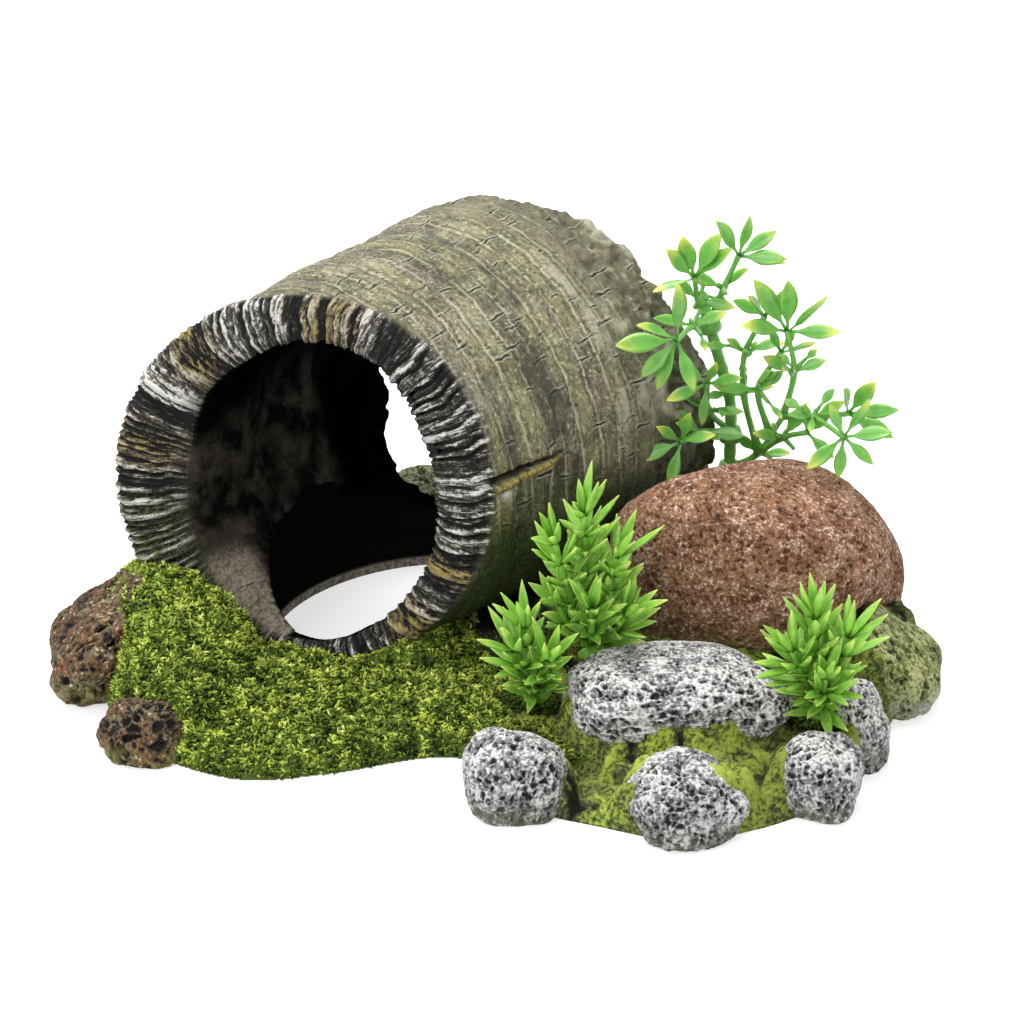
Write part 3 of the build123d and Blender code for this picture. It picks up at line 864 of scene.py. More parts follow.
def depth_inside(x, y, outline):
    """Distance in from a closed outline, negative outside it."""
    best = np.full(x.shape, 1e9)
    inside = np.zeros(x.shape, bool)
    for (ax, ay), (bx, by) in zip(outline, np.roll(outline, -1, axis=0)):
        squared = (bx - ax) ** 2 + (by - ay) ** 2 + 1e-9
        share = np.clip(((x - ax) * (bx - ax) + (y - ay) * (by - ay)) / squared, 0, 1)
        best = np.minimum(best, np.hypot(x - ax - share * (bx - ax), y - ay - share * (by - ay)))
        crossing = (ay > y) != (by > y)
        inside ^= crossing & (x < ax + (y - ay) * (bx - ax) / (by - ay + 1e-12))
    return np.where(inside, best, -best)


def inward_of_plate(x, y):
    """How far in from the base's edge a place lies."""
    return depth_inside(x, y, round_outline(COARSE_OUTLINE)) + 1.0


def dome_height(x, y, domes):
    """Height of the highest of some low banks at a place."""
    height = np.zeros_like(x)
    for centre_x, centre_y, half_length, half_width, top, turn in domes:
        dx, dy = x - centre_x, y - centre_y
        c, s = cos(radians(turn)), sin(radians(turn))
        left = 1 - ((dx * c + dy * s) / half_length) ** 2 - ((dy * c - dx * s) / half_width) ** 2
        height = np.maximum(height, top * np.sqrt(np.clip(left, 0, 1)))
    return height


def under_log(x, y):
    """Height of the log's underside above a place, and how far it lies behind the mouth and to the right."""
    dx, dy = x - LOG_START[0], y - LOG_START[1]
    side = dx * right[0] + dy * right[1]
    run = (dx * along[0] + dy * along[1]) / cos(LOG_RISE) ** 2
    radius = LOG_RADIUS + LOG_FLARE * run
    drop = np.sqrt(np.clip(radius ** 2 - side ** 2, 0, None))
    ceiling = LOG_START[2] + run * along[2] - drop
    ceiling = np.where(np.abs(side) < radius, ceiling, 1e3)
    behind = run - (FRONT_SLOPE[0] * side - FRONT_SLOPE[1] * drop)
    return ceiling, behind, side


def keep_under_log(x, y, height, bury):
    """Holds the ground down to just inside the log's underside, behind its mouth."""
    ceiling, behind, _ = under_log(x, y)
    held = np.minimum(height, ceiling + bury)
    share = smooth_step(-0.5, 1.2, behind) * smooth_step(90, 84, behind)
    return height + (held - height) * share


BASE_AROUND, BASE_RINGS = 860, 108
FINE_OUTLINE = 1400                         # points of the outline, for the base's edge
COARSE_OUTLINE = 160                        # and for distances to it
# How far up each stone the ground climbs, as a share of its height
STONE_COLLARS = {
    "grey_stone_top": 0.62, "grey_stone_front_left": 0.72, "grey_stone_front_mid": 0.78,
    "grey_stone_front_right": 0.78, "grey_stone_right": 0.75, "corner_stone": 0.8, "rear_rock": 0.5,
    "brown_stone_front": 0.3, "brown_stone_rear": 0.36, "lava_rock_left": 0.35, "lava_rock_small": 0.4,
}


def collar_height(x, y):
    """Ground that climbs up against the stones."""
    height = np.zeros_like(x)
    for name, share in STONE_COLLARS.items():
        low, high = (np.array(corner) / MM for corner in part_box(name))
        middle = (low + high) / 2
        half = (high - low) / 2
        away = np.hypot((x - middle[0]) / half[0], (y - middle[1]) / half[1])
        height = np.maximum(height, high[2] * share * smooth_step(1.0 + 8.0 / half[:2].min(), 0.92, away))
    return height


def log_fillet(x, y):
    """Ground banked up along both sides of the log, so that nothing shows under it."""
    ceiling, behind, side = under_log(x, y)
    crest = 16.0 - 0.8 * np.clip(np.abs(side) - 27, 0, None)
    reach = smooth_step(-2.5, 1.0, behind) * smooth_step(92, 84, behind)
    return np.minimum(np.where(ceiling < 900, ceiling + 1.2, crest), crest) * reach


def base_grid():
    """Rings of places from the floor window out to the edge: x, y, way in from it, and reach in windows."""
    outline = round_outline(FINE_OUTLINE)
    turn = full_turn(BASE_AROUND)
    from_centre = outline - window_centre[:2]
    bearing = np.arctan2(from_centre[:, 1], from_centre[:, 0])
    order = np.argsort(bearing)
    reach = np.interp(turn - pi, bearing[order], np.hypot(*from_centre.T)[order], period=2 * pi)
    tilt = pi / 2 - LOG_TURN
    inner = 1 / np.hypot(np.cos(turn - pi - tilt) / WINDOW_HALF[0], np.sin(turn - pi - tilt) / WINDOW_HALF[1])
    edge_wave = 0.8 * lumps(flat(np.cos(turn) * 60, np.sin(turn) * 60), 5, 81, 2)
    share = np.linspace(0, 1, BASE_RINGS)[:, None]
    distance = inner + (reach + edge_wave - inner) * share
    x = window_centre[0] + distance * np.cos(turn - pi)
    y = window_centre[1] + distance * np.sin(turn - pi)
    return x, y, reach + edge_wave - distance, distance / inner


def base_height(x, y, inward, bumps):
    """Height of the visible ground: domes, banks and collars, cut down under moss, log and plugs."""
    height = np.maximum(dome_height(x, y, OTHER_DOMES), dome_height(x, y, MOSS_DOMES) - 0.8)
    height = np.maximum.reduce([height, 0 * height + PLATE_HEIGHT, log_fillet(x, y), collar_height(x, y)])
    height = height + bumps
    height -= 2.2 * smooth_step(0.3, 0.7, moss_share(x, y, inward_of_plate(x, y)))
    height = height * np.sqrt(1 - (1 - np.clip((inward + 0.05) / 5, 0, 1)) ** 2.4)
    height = keep_under_log(x, y, height, 1.2)
    for socket_x, socket_y, top in SOCKETS.values():
        away = np.hypot(x - socket_x, y - socket_y)
        height = height + (top - 1.2 - height) * smooth_step(9, 5, away)
        height = height + (SOCKET_FLOOR - 1.0 - height) * smooth_step(4.2, 3.0, away)
    return np.maximum(height, 0.25)


def base_values(x, y, bumps, window_reach):
    """What the finish blends: relief, green paint on the bed in front, pale dust, and painted shade by the
    window.
    """
    spot = flat(x, y)
    bed = smooth_step(-6, 6, x - 0.25 * (y + 40)) * smooth_step(30, 12, y)
    patches = smooth_step(-0.35, 0.2, lumps(spot, 7, 89, 2))
    paint = bed * (0.45 + 0.5 * patches) + 0.35 * smooth_step(0.1, 0.5, lumps(spot, 9, 91, 2))
    _, behind, _ = under_log(x, y)
    return {
        "relief": np.clip(0.5 + 0.28 * (bumps + 0.8 * lumps(spot, 2.0, 87, 2)), 0, 1),
        "paint": np.clip(paint, 0, 1),
        "dust": smooth_step(0.0, 0.4, lumps(spot, 8, 93, 2)) * (1 - bed),
        # Painted shade round the floor window, behind the log's mouth
        "soot": smooth_step(1.30, 1.18, window_reach) * smooth_step(0, 2, behind),
    }


def base_piece():
    """The casting's visible ground, closed below by a flat ring round the floor window."""
    x, y, inward, window_reach = base_grid()
    spot = flat(x, y)
    bumps = 1.3 * lumps(spot, 8, 83, 2) + 1.3 * lumps(spot, 3.6, 85, 2) + 1.0 * lumps(spot, 2.0, 87, 2)
    top = np.stack([x, y, base_height(x, y, inward, bumps)], axis=-1)
    points = np.concatenate([top.reshape(-1, 3), (top[[0, -1]] * (1, 1, 0)).reshape(-1, 3)])
    count = BASE_RINGS * BASE_AROUND
    around = np.stack([np.arange(BASE_AROUND), (np.arange(BASE_AROUND) + 1) % BASE_AROUND], 1)
    faces = [grid_faces(BASE_RINGS, BASE_AROUND, close_columns=True)[:, ::-1]]
    faces += [np.concatenate([around + upper, around[:, ::-1] + lower], 1)
              for upper, lower in ((0, count), (count, count + BASE_AROUND))]
    outer = np.concatenate([around + count - BASE_AROUND, around[:, ::-1] + count + BASE_AROUND], 1)[:, ::-1]
    faces.insert(2, outer)
    values = {key: np.concatenate([value.ravel(), value[0], value[-1]])
              for key, value in base_values(x, y, bumps, window_reach).items()}
    piece = build("base_casting_look", points, faces, base_material, "cave", values)
    piece.data.materials.append(window_material)
    slots = np.zeros(sum(len(part) for part in faces), np.int32)
    # The inner wall round the window takes the window look: near-black painted shade
    slots[len(faces[0]):len(faces[0]) + BASE_AROUND] = 1
    piece.data.polygons.foreach_set("material_index", slots)
    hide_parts("base_casting")


def socket_pieces():
    """A round boss with its blind hole, for each plant."""
    for name, (x, y, top) in SOCKETS.items():
        soup = Soup()
        add_lathe(soup, (x, y, 0), (0, 0, 1), [
            (0.02, 0.7), (4.0, 0.7), (5.4, top - 3.5), (5.1, top - 1.6), (4.4, top - 0.5), (3.6, top - 0.05),
            (2.6, top), (SOCKET_RADIUS + 0.15, top - 0.2), (SOCKET_RADIUS, top - 0.7),
            (SOCKET_RADIUS, SOCKET_FLOOR + 0.3), (SOCKET_RADIUS - 0.3, SOCKET_FLOOR), (0.02, SOCKET_FLOOR),
        ], relief=0.4, paint=0.3, dust=0.0, soot=0.0)
        piece = soup.build("socket_" + name, base_material, "cave")


# ---------------------------------------------------------------- moss
MOSS_STEP = 0.5
MOSS_AREA = (-98.0, 26.0, -54.0, 38.0)
CURLS = 21000
CURL_TRIES = 14                             # random places drawn for each curl that is kept
SLOPE_STEP = 0.4                            # millimetres between the heights that a slope is read from
CRUMBS = 420                                # crumbs round each bush


def moss_height(x, y):
    """Smooth height of the moss at a place, and how far in from the outline it is."""
    inward = inward_of_plate(x, y)
    crest = np.maximum(dome_height(x, y, MOSS_DOMES) + 0.8, PLATE_HEIGHT + 1.0)
    crest = np.maximum(crest, log_fillet(x, y) + 0.4)
    swell = 0.9 * lumps(flat(x, y), 11, 101, 2)
    height = (crest + swell) * np.sqrt(1 - (1 - np.clip(inward / 7.5, 0, 1)) ** 2.2)
    return height, inward


def moss_share(x, y, inward):
    """1 where moss grows, falling to 0 at its border with the stone bed and under the log."""
    wave = 3.5 * lumps(flat(x, y), 6, 103, 2)
    border = smooth_step(5, 0, x + 0.55 * (y + 30) - 7 + wave)
    _, behind, side = under_log(x, y)
    open_air = np.maximum(smooth_step(5, 2, behind), smooth_step(27, 30, np.abs(side)))
    back = smooth_step(36, 26, y)
    return border * open_air * back * (inward > 0)


def moss_surface(x, y):
    """Height of the moss, its share of the ground, and how high its clumps stand from 0 to 1."""
    height, inward = moss_height(x, y)
    share = moss_share(x, y, inward)
    spot = flat(x, y)
    nearest, _, number = cells(spot + 0.9 * lumps(spot, 2.0, 105, 2)[..., None], 2.3, 107)
    clump = np.clip((1 - nearest) * (0.55 + 0.45 * number), 0, 1)
    height = keep_under_log(x, y, height + 1.3 * clump - 0.4, 1.0)
    return np.where(share > 0.5, height, height - 6.0 * (0.5 - share)), share, clump


def moss_mat():
    """The moss's lumpy skin, closed by a wall round its border and a flat underside."""
    left, far_right, front, back = MOSS_AREA
    xs = np.arange(left, far_right, MOSS_STEP)
    ys = np.arange(front, back, MOSS_STEP)
    x, y = np.meshgrid(xs, ys, indexing="ij")
    height, share, clump = moss_surface(x, y)
    grown = (share > 0.05) & (height > 0.05)
    cell = grown[:-1, :-1] & grown[1:, :-1] & grown[1:, 1:] & grown[:-1, 1:]
    faces = grid_faces(len(xs), len(ys))[cell.ravel()][:, ::-1]
    count = x.size
    top = np.stack([x, y, np.maximum(height, 0.1)], axis=-1).reshape(-1, 3)
    points = np.concatenate([top, top * (1, 1, 0) + (0, 0, 0.02)])
    edges = np.concatenate([faces[:, [k, (k + 1) % 4]] for k in range(4)])
    keys = np.sort(edges, axis=1) @ np.array([count, 1])
    _, first, times = np.unique(keys, return_index=True, return_counts=True)
    rim = edges[first[times == 1]]
    walls = np.stack([rim[:, 1], rim[:, 0], rim[:, 0] + count, rim[:, 1] + count], 1)
    all_faces = np.concatenate([faces, faces[:, ::-1] + count, walls])
    used, renumbered = np.unique(all_faces, return_inverse=True)
    relief = np.concatenate([0.15 + 0.6 * clump.ravel(), 0.35 + 0 * clump.ravel()])[used]
    mat = build("moss_mat_look", points[used], renumbered.reshape(all_faces.shape), moss_material, "cave",
                {"relief": relief})
    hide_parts("moss_mat")


def moss_curls(random):
    """Curls strewn over the moss, most of them on steep places and on the crowns of its clumps."""
    left, far_right, front, back = MOSS_AREA
    gx = random.uniform(left, far_right, CURL_TRIES * CURLS)
    gy = random.uniform(front, back, CURL_TRIES * CURLS)
    here, share, clump = moss_surface(gx, gy)
    slope_x = (moss_surface(gx + SLOPE_STEP, gy)[0] - here) / SLOPE_STEP
    slope_y = (moss_surface(gx, gy + SLOPE_STEP)[0] - here) / SLOPE_STEP
    steep = np.clip(np.hypot(slope_x, slope_y), 0, 4)
    likely = (0.25 + 0.3 * steep) * (0.4 + 0.8 * clump)
    chosen = (share > 0.2) & (here > 0.15) & (random.random(len(gx)) < likely)
    picks = np.nonzero(chosen)[0][:CURLS]
    third = len(picks) // 3
    for part, group in (("a", picks[:third]), ("b", picks[third:2 * third]), ("c", picks[2 * third:])):
        shapes, faces = curls(random, len(group))
        lift = random.uniform(-0.25, 0.6, len(group))
        centre = np.stack([gx[group], gy[group], np.maximum(here[group] + lift, 0.75)], axis=-1)
        # Brighter on clump crowns and higher curls (paler tips with a painted highlight), and on each curl's
        # upper side (painted light from above)
        bright = 0.08 + 0.8 * clump[group] + 0.35 * lift + random.normal(0, 0.16, len(group))
        tops = bright[:, None] + 0.25 * shapes[..., 2]
        soup = Soup()
        soup.add((shapes + centre[:, None]).reshape(-1, 3), faces, relief=np.clip(tops, 0, 1.2).ravel())
        piece = soup.build("moss_curls_" + part, moss_material, "cave")


def socket_crumbs(random):
    """Moss crumbs in a loose ring round each bush's foot, clear of its flange."""
    soup = Soup()
    for name in BUSH_SEEDS:
        x, y, top = SOCKETS[name]
        shapes, faces = curls(random, CRUMBS)
        turn = random.uniform(0, 2 * pi, CRUMBS)
        away = 4.3 + 3.4 * random.random(CRUMBS) ** 1.3
        lift = random.uniform(-0.6, 2.3, CRUMBS) * np.clip(2.2 - 0.3 * away, 0.15, 1)
        centre = np.stack([x + away * np.cos(turn), y + away * np.sin(turn), top - 0.5 + lift], axis=-1)
        # Higher crumbs and each crumb's upper side are brighter: painted light from above
        bright = np.clip(0.15 + 0.25 * lift[:, None] + 0.25 * shapes[..., 2], 0, 1.2)
        soup.add((0.75 * shapes + centre[:, None]).reshape(-1, 3), faces, relief=bright.ravel())
    piece = soup.build("moss_curls_sockets", moss_material, "cave")


def curls(random, count):
    """Small bent crumbs of moss about the origin, each turned its own way, and their faces."""
    sides = 3
    turn = full_turn(sides)
    rings = [(-1.2, 0.3), (-0.45, 1.0), (0.45, 1.0), (1.2, 0.3)]
    run = np.repeat([ring[0] for ring in rings], sides)
    girth = np.repeat([ring[1] for ring in rings], sides)
    length = random.uniform(0.4, 0.9, (count, 1))
    radius = random.uniform(0.24, 0.44, (count, 1)) * girth
    bend = random.uniform(0.15, 0.6, (count, 1))
    shapes = np.stack([
        run * length,
        radius * np.cos(np.tile(turn, len(rings))) + bend * length * run ** 2,
        radius * np.sin(np.tile(turn, len(rings))),
    ], axis=-1)
    axis = random.normal(size=(count, 3))
    axis /= np.linalg.norm(axis, axis=1, keepdims=True)
    shapes = spin(shapes, axis, random.uniform(0, 2 * pi, count))
    quads = grid_faces(len(rings), sides, close_columns=True)
    caps = np.array([[2, 1, 0], [9, 10, 11]])
    step = (np.arange(count) * len(run))[:, None, None]
    return shapes, [(quads[None] + step).reshape(-1, 4), (caps[None] + step).reshape(-1, 3)]


def spin(shapes, axis, turn):
    """Each shape's points turned about its own axis (Rodrigues' formula)."""
    c = np.cos(turn)[:, None, None]
    s = np.sin(turn)[:, None, None]
    k = np.broadcast_to(axis[:, None], shapes.shape)
    return shapes * c + np.cross(k, shapes) * s + k * np.sum(k * shapes, axis=-1, keepdims=True) * (1 - c)


# ---------------------------------------------------------------- stones
STONE_FLOOR = -0.62                         # where a stone about 1 in radius is cut flat
FACET_EDGE = 9                              # the higher, the sharper the edges between facets


def rough_ball(level, seed, facets, squareness, lump):
    """Points and faces of a stone about 1 in radius: a squarish ball with a few soft facets."""
    sphere, faces = ball(level)
    random = np.random.default_rng(seed)
    normals = random.normal(size=(facets, 3))
    normals /= np.linalg.norm(normals, axis=1, keepdims=True)
    facing = np.clip(sphere @ normals.T, 1e-6, None) / random.uniform(0.84, 1.05, facets)
    square = (np.abs(sphere) ** squareness).sum(1) ** (1 / squareness)
    radius = ((facing ** FACET_EDGE).sum(1) + square ** FACET_EDGE) ** (-1 / FACET_EDGE)
    radius *= 1 + lump * lumps(sphere * 3, 2.0, seed, 3)
    return sphere * radius[:, None], faces


def stone(name, material, shape, pits, lean=0.0):
    """A stone that fills its CAD box, pitted all over and flat where it meets the ground.

    `shape`: level of the ball, seed, turn, facets, squareness and lump. `pits`: size, depth and the share of
    cells that have none. A positive lean tips the left side in, a negative one the right side.
    """
    level, seed, turn, facets, squareness, lump = shape
    pit_size, pit_depth, plain = pits
    low, high = (np.array(corner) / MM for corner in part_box(name))
    points, faces = rough_ball(level, seed, facets, squareness, lump)
    c, s = cos(radians(turn)), sin(radians(turn))
    points = points @ np.array([[c, s, 0], [-s, c, 0], [0, 0, 1]])
    on_ground = low[2] < 1
    if on_ground:
        squash = smooth_step(STONE_FLOOR + 0.3, STONE_FLOOR - 0.15, points[:, 2])
        points[:, 2] += (STONE_FLOOR - points[:, 2]) * squash
    span = points.max(0) - points.min(0)
    margin = 0.15 * pit_depth
    points = (points - points.min(0)) / span * (high - low - 2 * margin) + low + margin
    if on_ground:
        points[:, 2] -= margin
    still = high[0] if lean > 0 else low[0]
    rise = (points[:, 2] - low[2]) / (high[2] - low[2])
    points[:, 0] += abs(lean) * (still - points[:, 0]) * smooth_step(0.35, 1, rise)
    normals = point_normals(points, faces)
    warp = 0.55 * pit_size * np.stack([lumps(points, pit_size, seed + k) for k in (21, 22, 23)], axis=-1)
    nearest, second, number = cells(points + warp, pit_size, seed + 1)
    small_nearest, small_second, small_number = cells(points + warp * 0.5, pit_size * 0.45, seed + 9)
    pit = smooth_step(0.06, 0.5, second - nearest) * smooth_step(plain, plain + 0.45, number)
    crumb = smooth_step(0.05, 0.45, small_second - small_nearest) * (0.2 + 0.8 * small_number)
    swell = lumps(points, pit_size * 3.0, seed + 13, 2)
    shift = pit_depth * (0.6 * swell - pit - 0.4 * crumb + 0.35)
    grounded = smooth_step(0.1, 1.0, points[:, 2]) if on_ground else 1.0
    relief = np.clip(0.98 - 0.8 * pit - 0.45 * crumb + 0.35 * swell, 0, 1)
    points = points + normals * (shift * grounded)[:, None]
    points[:, 2] = np.maximum(points[:, 2], 0)
    stain = smooth_step(low[2] + 0.45 * (high[2] - low[2]), low[2] + 0.1 * (high[2] - low[2]), points[:, 2])
    piece = build(name + "_look", points, faces, material, "cave", {"relief": relief, "stain": stain})
    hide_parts(name)


def stone_pieces():
    """The eleven stones, each with its finish, slot, shape, pits and lean."""
    grey = pitted_finish(
        "grey_stone_look", (0.014, 0.012, 0.014), (0.19, 0.185, 0.187), (0.70, 0.685, 0.67), 0.9,
        ((0.02, 0.02, 0.015), (0.17, 0.17, 0.12)))
    mossy = pitted_finish(
        "mossy_stone_look", (0.03, 0.035, 0.012), (0.15, 0.18, 0.045), (0.45, 0.46, 0.22), 1.0,
        ((0.07, 0.07, 0.06), (0.55, 0.53, 0.47)))
    # The mossy stone's finish made darker: painted shade on the rear rock
    rear = pitted_finish(
        "rear_rock_look", (0.006, 0.007, 0.003), (0.035, 0.042, 0.014), (0.20, 0.21, 0.11), 1.0,
        ((0.01, 0.01, 0.008), (0.10, 0.10, 0.07)))
    brown = brown_finish()
    lava = lava_finish()
    grey_pits = (1.6, 0.8, 0.05)
    for name, material, slot, shape, pits, lean in (
        ("grey_stone_top", grey, "grey_stone", (7, 221, 6, 5, 3.3, 0.15), (1.7, 0.9, 0.05), 0),
        ("grey_stone_front_left", grey, "grey_stone", (6, 202, 10, 6, 2.6, 0.14), grey_pits, 0),
        ("grey_stone_front_mid", grey, "grey_stone", (6, 203, 20, 6, 3.0, 0.17), grey_pits, 0),
        ("grey_stone_front_right", grey, "grey_stone", (6, 204, -20, 6, 2.8, 0.16), grey_pits, 0),
        ("grey_stone_right", grey, "grey_stone", (6, 205, -8, 6, 2.8, 0.16), grey_pits, 0),
        ("brown_stone_front", brown, "brown_stone", (7, 206, 0, 5, 2.4, 0.07), (1.4, 0.6, 0.2), 0),
        ("brown_stone_rear", brown, "brown_stone", (6, 207, 35, 6, 2.4, 0.07), (1.4, 0.6, 0.2), 0),
        ("lava_rock_left", lava, "lava_rock", (7, 208, 8, 7, 2.8, 0.30), (3.0, 1.9, 0.1), 0.55),
        ("lava_rock_small", lava, "lava_rock", (6, 209, -15, 6, 2.8, 0.26), (2.6, 1.3, 0.1), 0),
        ("corner_stone", mossy, "mossy_stone", (6, 210, -12, 7, 2.3, 0.18), (1.8, 0.8, 0.2), -0.5),
        ("rear_rock", rear, "mossy_stone", (6, 211, 25, 8, 2.3, 0.14), (2.4, 1.0, 0.2), 0),
    ):
        stone(name, material, shape, pits, lean)


# ---------------------------------------------------------------- plants
LEAF_STATIONS = 11
LEAF_THICKNESS = 0.5
TWIG_SIDES = 10
TWIG_TONE = {"reach": 0.3, "tone": 0.3}     # colour values of twigs, plugs and collars


def unit(vector):
    """The vector at a length of 1."""
    return vector / np.linalg.norm(vector)


def add_leaf(soup, root, tip, width, tone, facing, fold, bend, widest, stalk):
    """A closed leaf, folded along its midrib and curved; `widest` and `stalk` are shares of its length."""
    root, tip = np.array(root, float), np.array(tip, float)
    length = np.linalg.norm(tip - root)
    ahead = unit(tip - root)
    side = unit(np.cross(ahead, facing))
    up = np.cross(side, ahead)
    t = np.linspace(0, 1, LEAF_STATIONS)
    blade = np.clip((t - stalk) / (1 - stalk), 0, 1)
    swell = np.sin(pi * blade ** (np.log(0.5) / np.log(widest)))
    half = np.maximum(width / 2 * np.clip(swell, 0, 1) ** 0.85, np.where(t < 0.5, 0.38, 0.06))
    middle = root + ahead * (t * length)[:, None] + up * (bend * length * t ** 2)[:, None]
    across = np.array([-1, -0.55, 0, 0.55, 1, 0.55, 0, -0.55])
    under = np.array([0, 0, 0, 0, 0, 1, 1, 1])
    thick = LEAF_THICKNESS * (0.55 + 0.9 * np.exp(-(across / 0.35) ** 2))
    cup = fold * np.abs(across) ** 1.15
    rise = half[:, None] * cup - under * thick * np.clip(half / 0.8, 0.4, 1)[:, None]
    points = middle[:, None] + side * (half[:, None] * across)[..., None] + up * rise[..., None]
    soup.add(points.reshape(-1, 3), tube_faces(LEAF_STATIONS, len(across)), reach=np.repeat(t, len(across)),
             tone=tone)


def smooth_path(points, steps):
    """Points of a smooth curve through a chain of points."""
    chain = np.array(points, float)
    chain = np.concatenate([2 * chain[:1] - chain[1:2], chain, 2 * chain[-1:] - chain[-2:-1]])
    path = []
    for knots in zip(chain, chain[1:], chain[2:], chain[3:]):
        path += [curve(*knots, t) for t in np.arange(steps) / steps]
    return np.array(path + [chain[-2]])


def add_twig(soup, points, radius, tip_radius, node, steps=6):
    """A round twig through a chain of points, swollen by the share `node` at each of them."""
    path = smooth_path(points, steps)
    count = len(path)
    tangent = np.gradient(path, axis=0)
    tangent /= np.linalg.norm(tangent, axis=1, keepdims=True)
    side = np.cross(tangent, (0.31, 0.9, 0.2))
    side /= np.linalg.norm(side, axis=1, keepdims=True)
    other = np.cross(tangent, side)
    share = np.arange(count) / steps
    swelling = 1 + node * np.exp(-((share - np.round(share)) * steps / 1.1) ** 2)
    thickness = np.linspace(radius, tip_radius, count) * swelling
    thickness = np.concatenate([[0.55 * thickness[0]], thickness, [0.55 * thickness[-1]]])
    first, last = path[:1] - tangent[:1] * radius * 0.3, path[-1:] + tangent[-1:] * radius * 0.3
    path = np.concatenate([first, path, last])
    side = np.concatenate([side[:1], side, side[-1:]])
    other = np.concatenate([other[:1], other, other[-1:]])
    turn = full_turn(TWIG_SIDES)
    ring = side[:, None] * np.cos(turn)[None, :, None] + other[:, None] * np.sin(turn)[None, :, None]
    rings = path[:, None] + ring * thickness[:, None, None]
    soup.add(rings.reshape(-1, 3), tube_faces(len(path), TWIG_SIDES), **TWIG_TONE)


def add_lathe(soup, centre, axis, profile, steps=40, **values):
    """A turned solid: (radius, height along the axis) points, closed at both ends."""
    axis = unit(np.array(axis, float))
    side = unit(np.cross(axis, (0.3, 1, 0.1)))
    other = np.cross(axis, side)
    turn = full_turn(steps)
    ring = side * np.cos(turn)[:, None] + other * np.sin(turn)[:, None]
    points = np.array([np.array(centre) + axis * height + ring * radius for radius, height in profile])
    soup.add(points.reshape(-1, 3), tube_faces(len(profile), steps), **(values or TWIG_TONE))


def add_plug(soup, socket):
    """The pin in the socket with its flange on the boss."""
    x, y, top = socket
    profile = [(1.5, 2.1), (1.95, 2.6), (2.0, top), (3.0, top + 0.02), (3.2, top + 0.3), (3.2, top + 1.0),
               (2.9, top + 1.35), (1.6, top + 1.7), (1.0, top + 2.4), (0.6, top + 2.5)]
    add_lathe(soup, (x, y, 0), (0, 0, 1), profile)


BUSH_LEAF_LENGTH = 11.2
BUSH_LEAF_WIDTH = 2.4
STUNTED_SHARE = 0.08                        # of a bush's leaves that stay less than half as long
BUSH_SEEDS = {"large": 31, "small": 32, "right": 33}
# Bushes: the number of CAD tiers, then each shoot's foot, tip and number of whorls of leaves
BUSHES = {
    "large": (6, [
        ((22.0, -21.6, 15.5), (19.6, -28.4, 53.0), 7),
        ((21.8, -23.0, 20.0), (13.5, -30.0, 47.0), 5),
        ((21.8, -23.0, 20.0), (27.0, -28.5, 43.0), 5),
        ((21.8, -23.0, 18.0), (21.5, -34.5, 33.0), 4),
        ((21.8, -23.0, 18.0), (29.0, -31.0, 30.0), 3),
        ((21.8, -23.0, 18.0), (14.0, -29.5, 32.0), 3),
    ]),
    "small": (3, [
        ((9.6, -33.6, 12.0), (7.0, -38.0, 30.5), 4),
        ((9.5, -34.0, 13.0), (5.0, -38.5, 25.0), 3),
        ((9.5, -34.0, 13.0), (12.0, -41.0, 24.0), 3),
        ((9.5, -34.2, 12.0), (8.6, -38.0, 17.0), 2),
    ]),
    "right": (4, [
        ((71.5, -43.8, 13.0), (69.5, -45.6, 36.5), 5),
        ((71.4, -44.0, 15.0), (76.5, -47.5, 33.0), 4),
        ((71.4, -44.0, 15.0), (64.5, -48.0, 30.0), 4),
        ((71.4, -44.0, 14.0), (71.5, -51.0, 25.0), 3),
        ((71.4, -44.2, 13.0), (71.0, -48.5, 18.0), 2),
    ]),
}


# Way to the next bush, where the leaves stay short so that the two can be pulled past each other
NEIGHBOUR = {"large": np.array((-0.72, -0.69, 0)), "small": np.array((0.72, 0.69, 0))}


def add_whorl(soup, random, centre, axis, share, count, rise, neighbour):
    """A ring of leaves about a point of a shoot; they grow longer with the share of the shoot below them."""
    side = unit(np.cross(axis, (0.2, 1, 0.1)))
    other = np.cross(axis, side)
    start = random.uniform(0, 2 * pi)
    for k in range(count):
        turn = start + 2 * pi * k / count + random.normal(0, 0.22)
        tilt = radians(rise + random.normal(0, 9))
        outward = side * cos(turn) + other * sin(turn)
        direction = outward * cos(tilt) + axis * sin(tilt)
        length = BUSH_LEAF_LENGTH * random.uniform(0.72, 1.15) * (0.8 + 0.2 * share)
        if random.random() < STUNTED_SHARE:
            length *= 0.45
        length *= 1 - 0.5 * max(0.0, float(direction @ neighbour))
        root = centre + outward * 0.5
        width = BUSH_LEAF_WIDTH * random.uniform(0.85, 1.1)
        add_leaf(soup, root, root + direction * length, width, random.uniform(0.3, 1.0), axis + 0.001, 0.55,
                 random.uniform(0.0, 0.14), 0.42, 0.06)


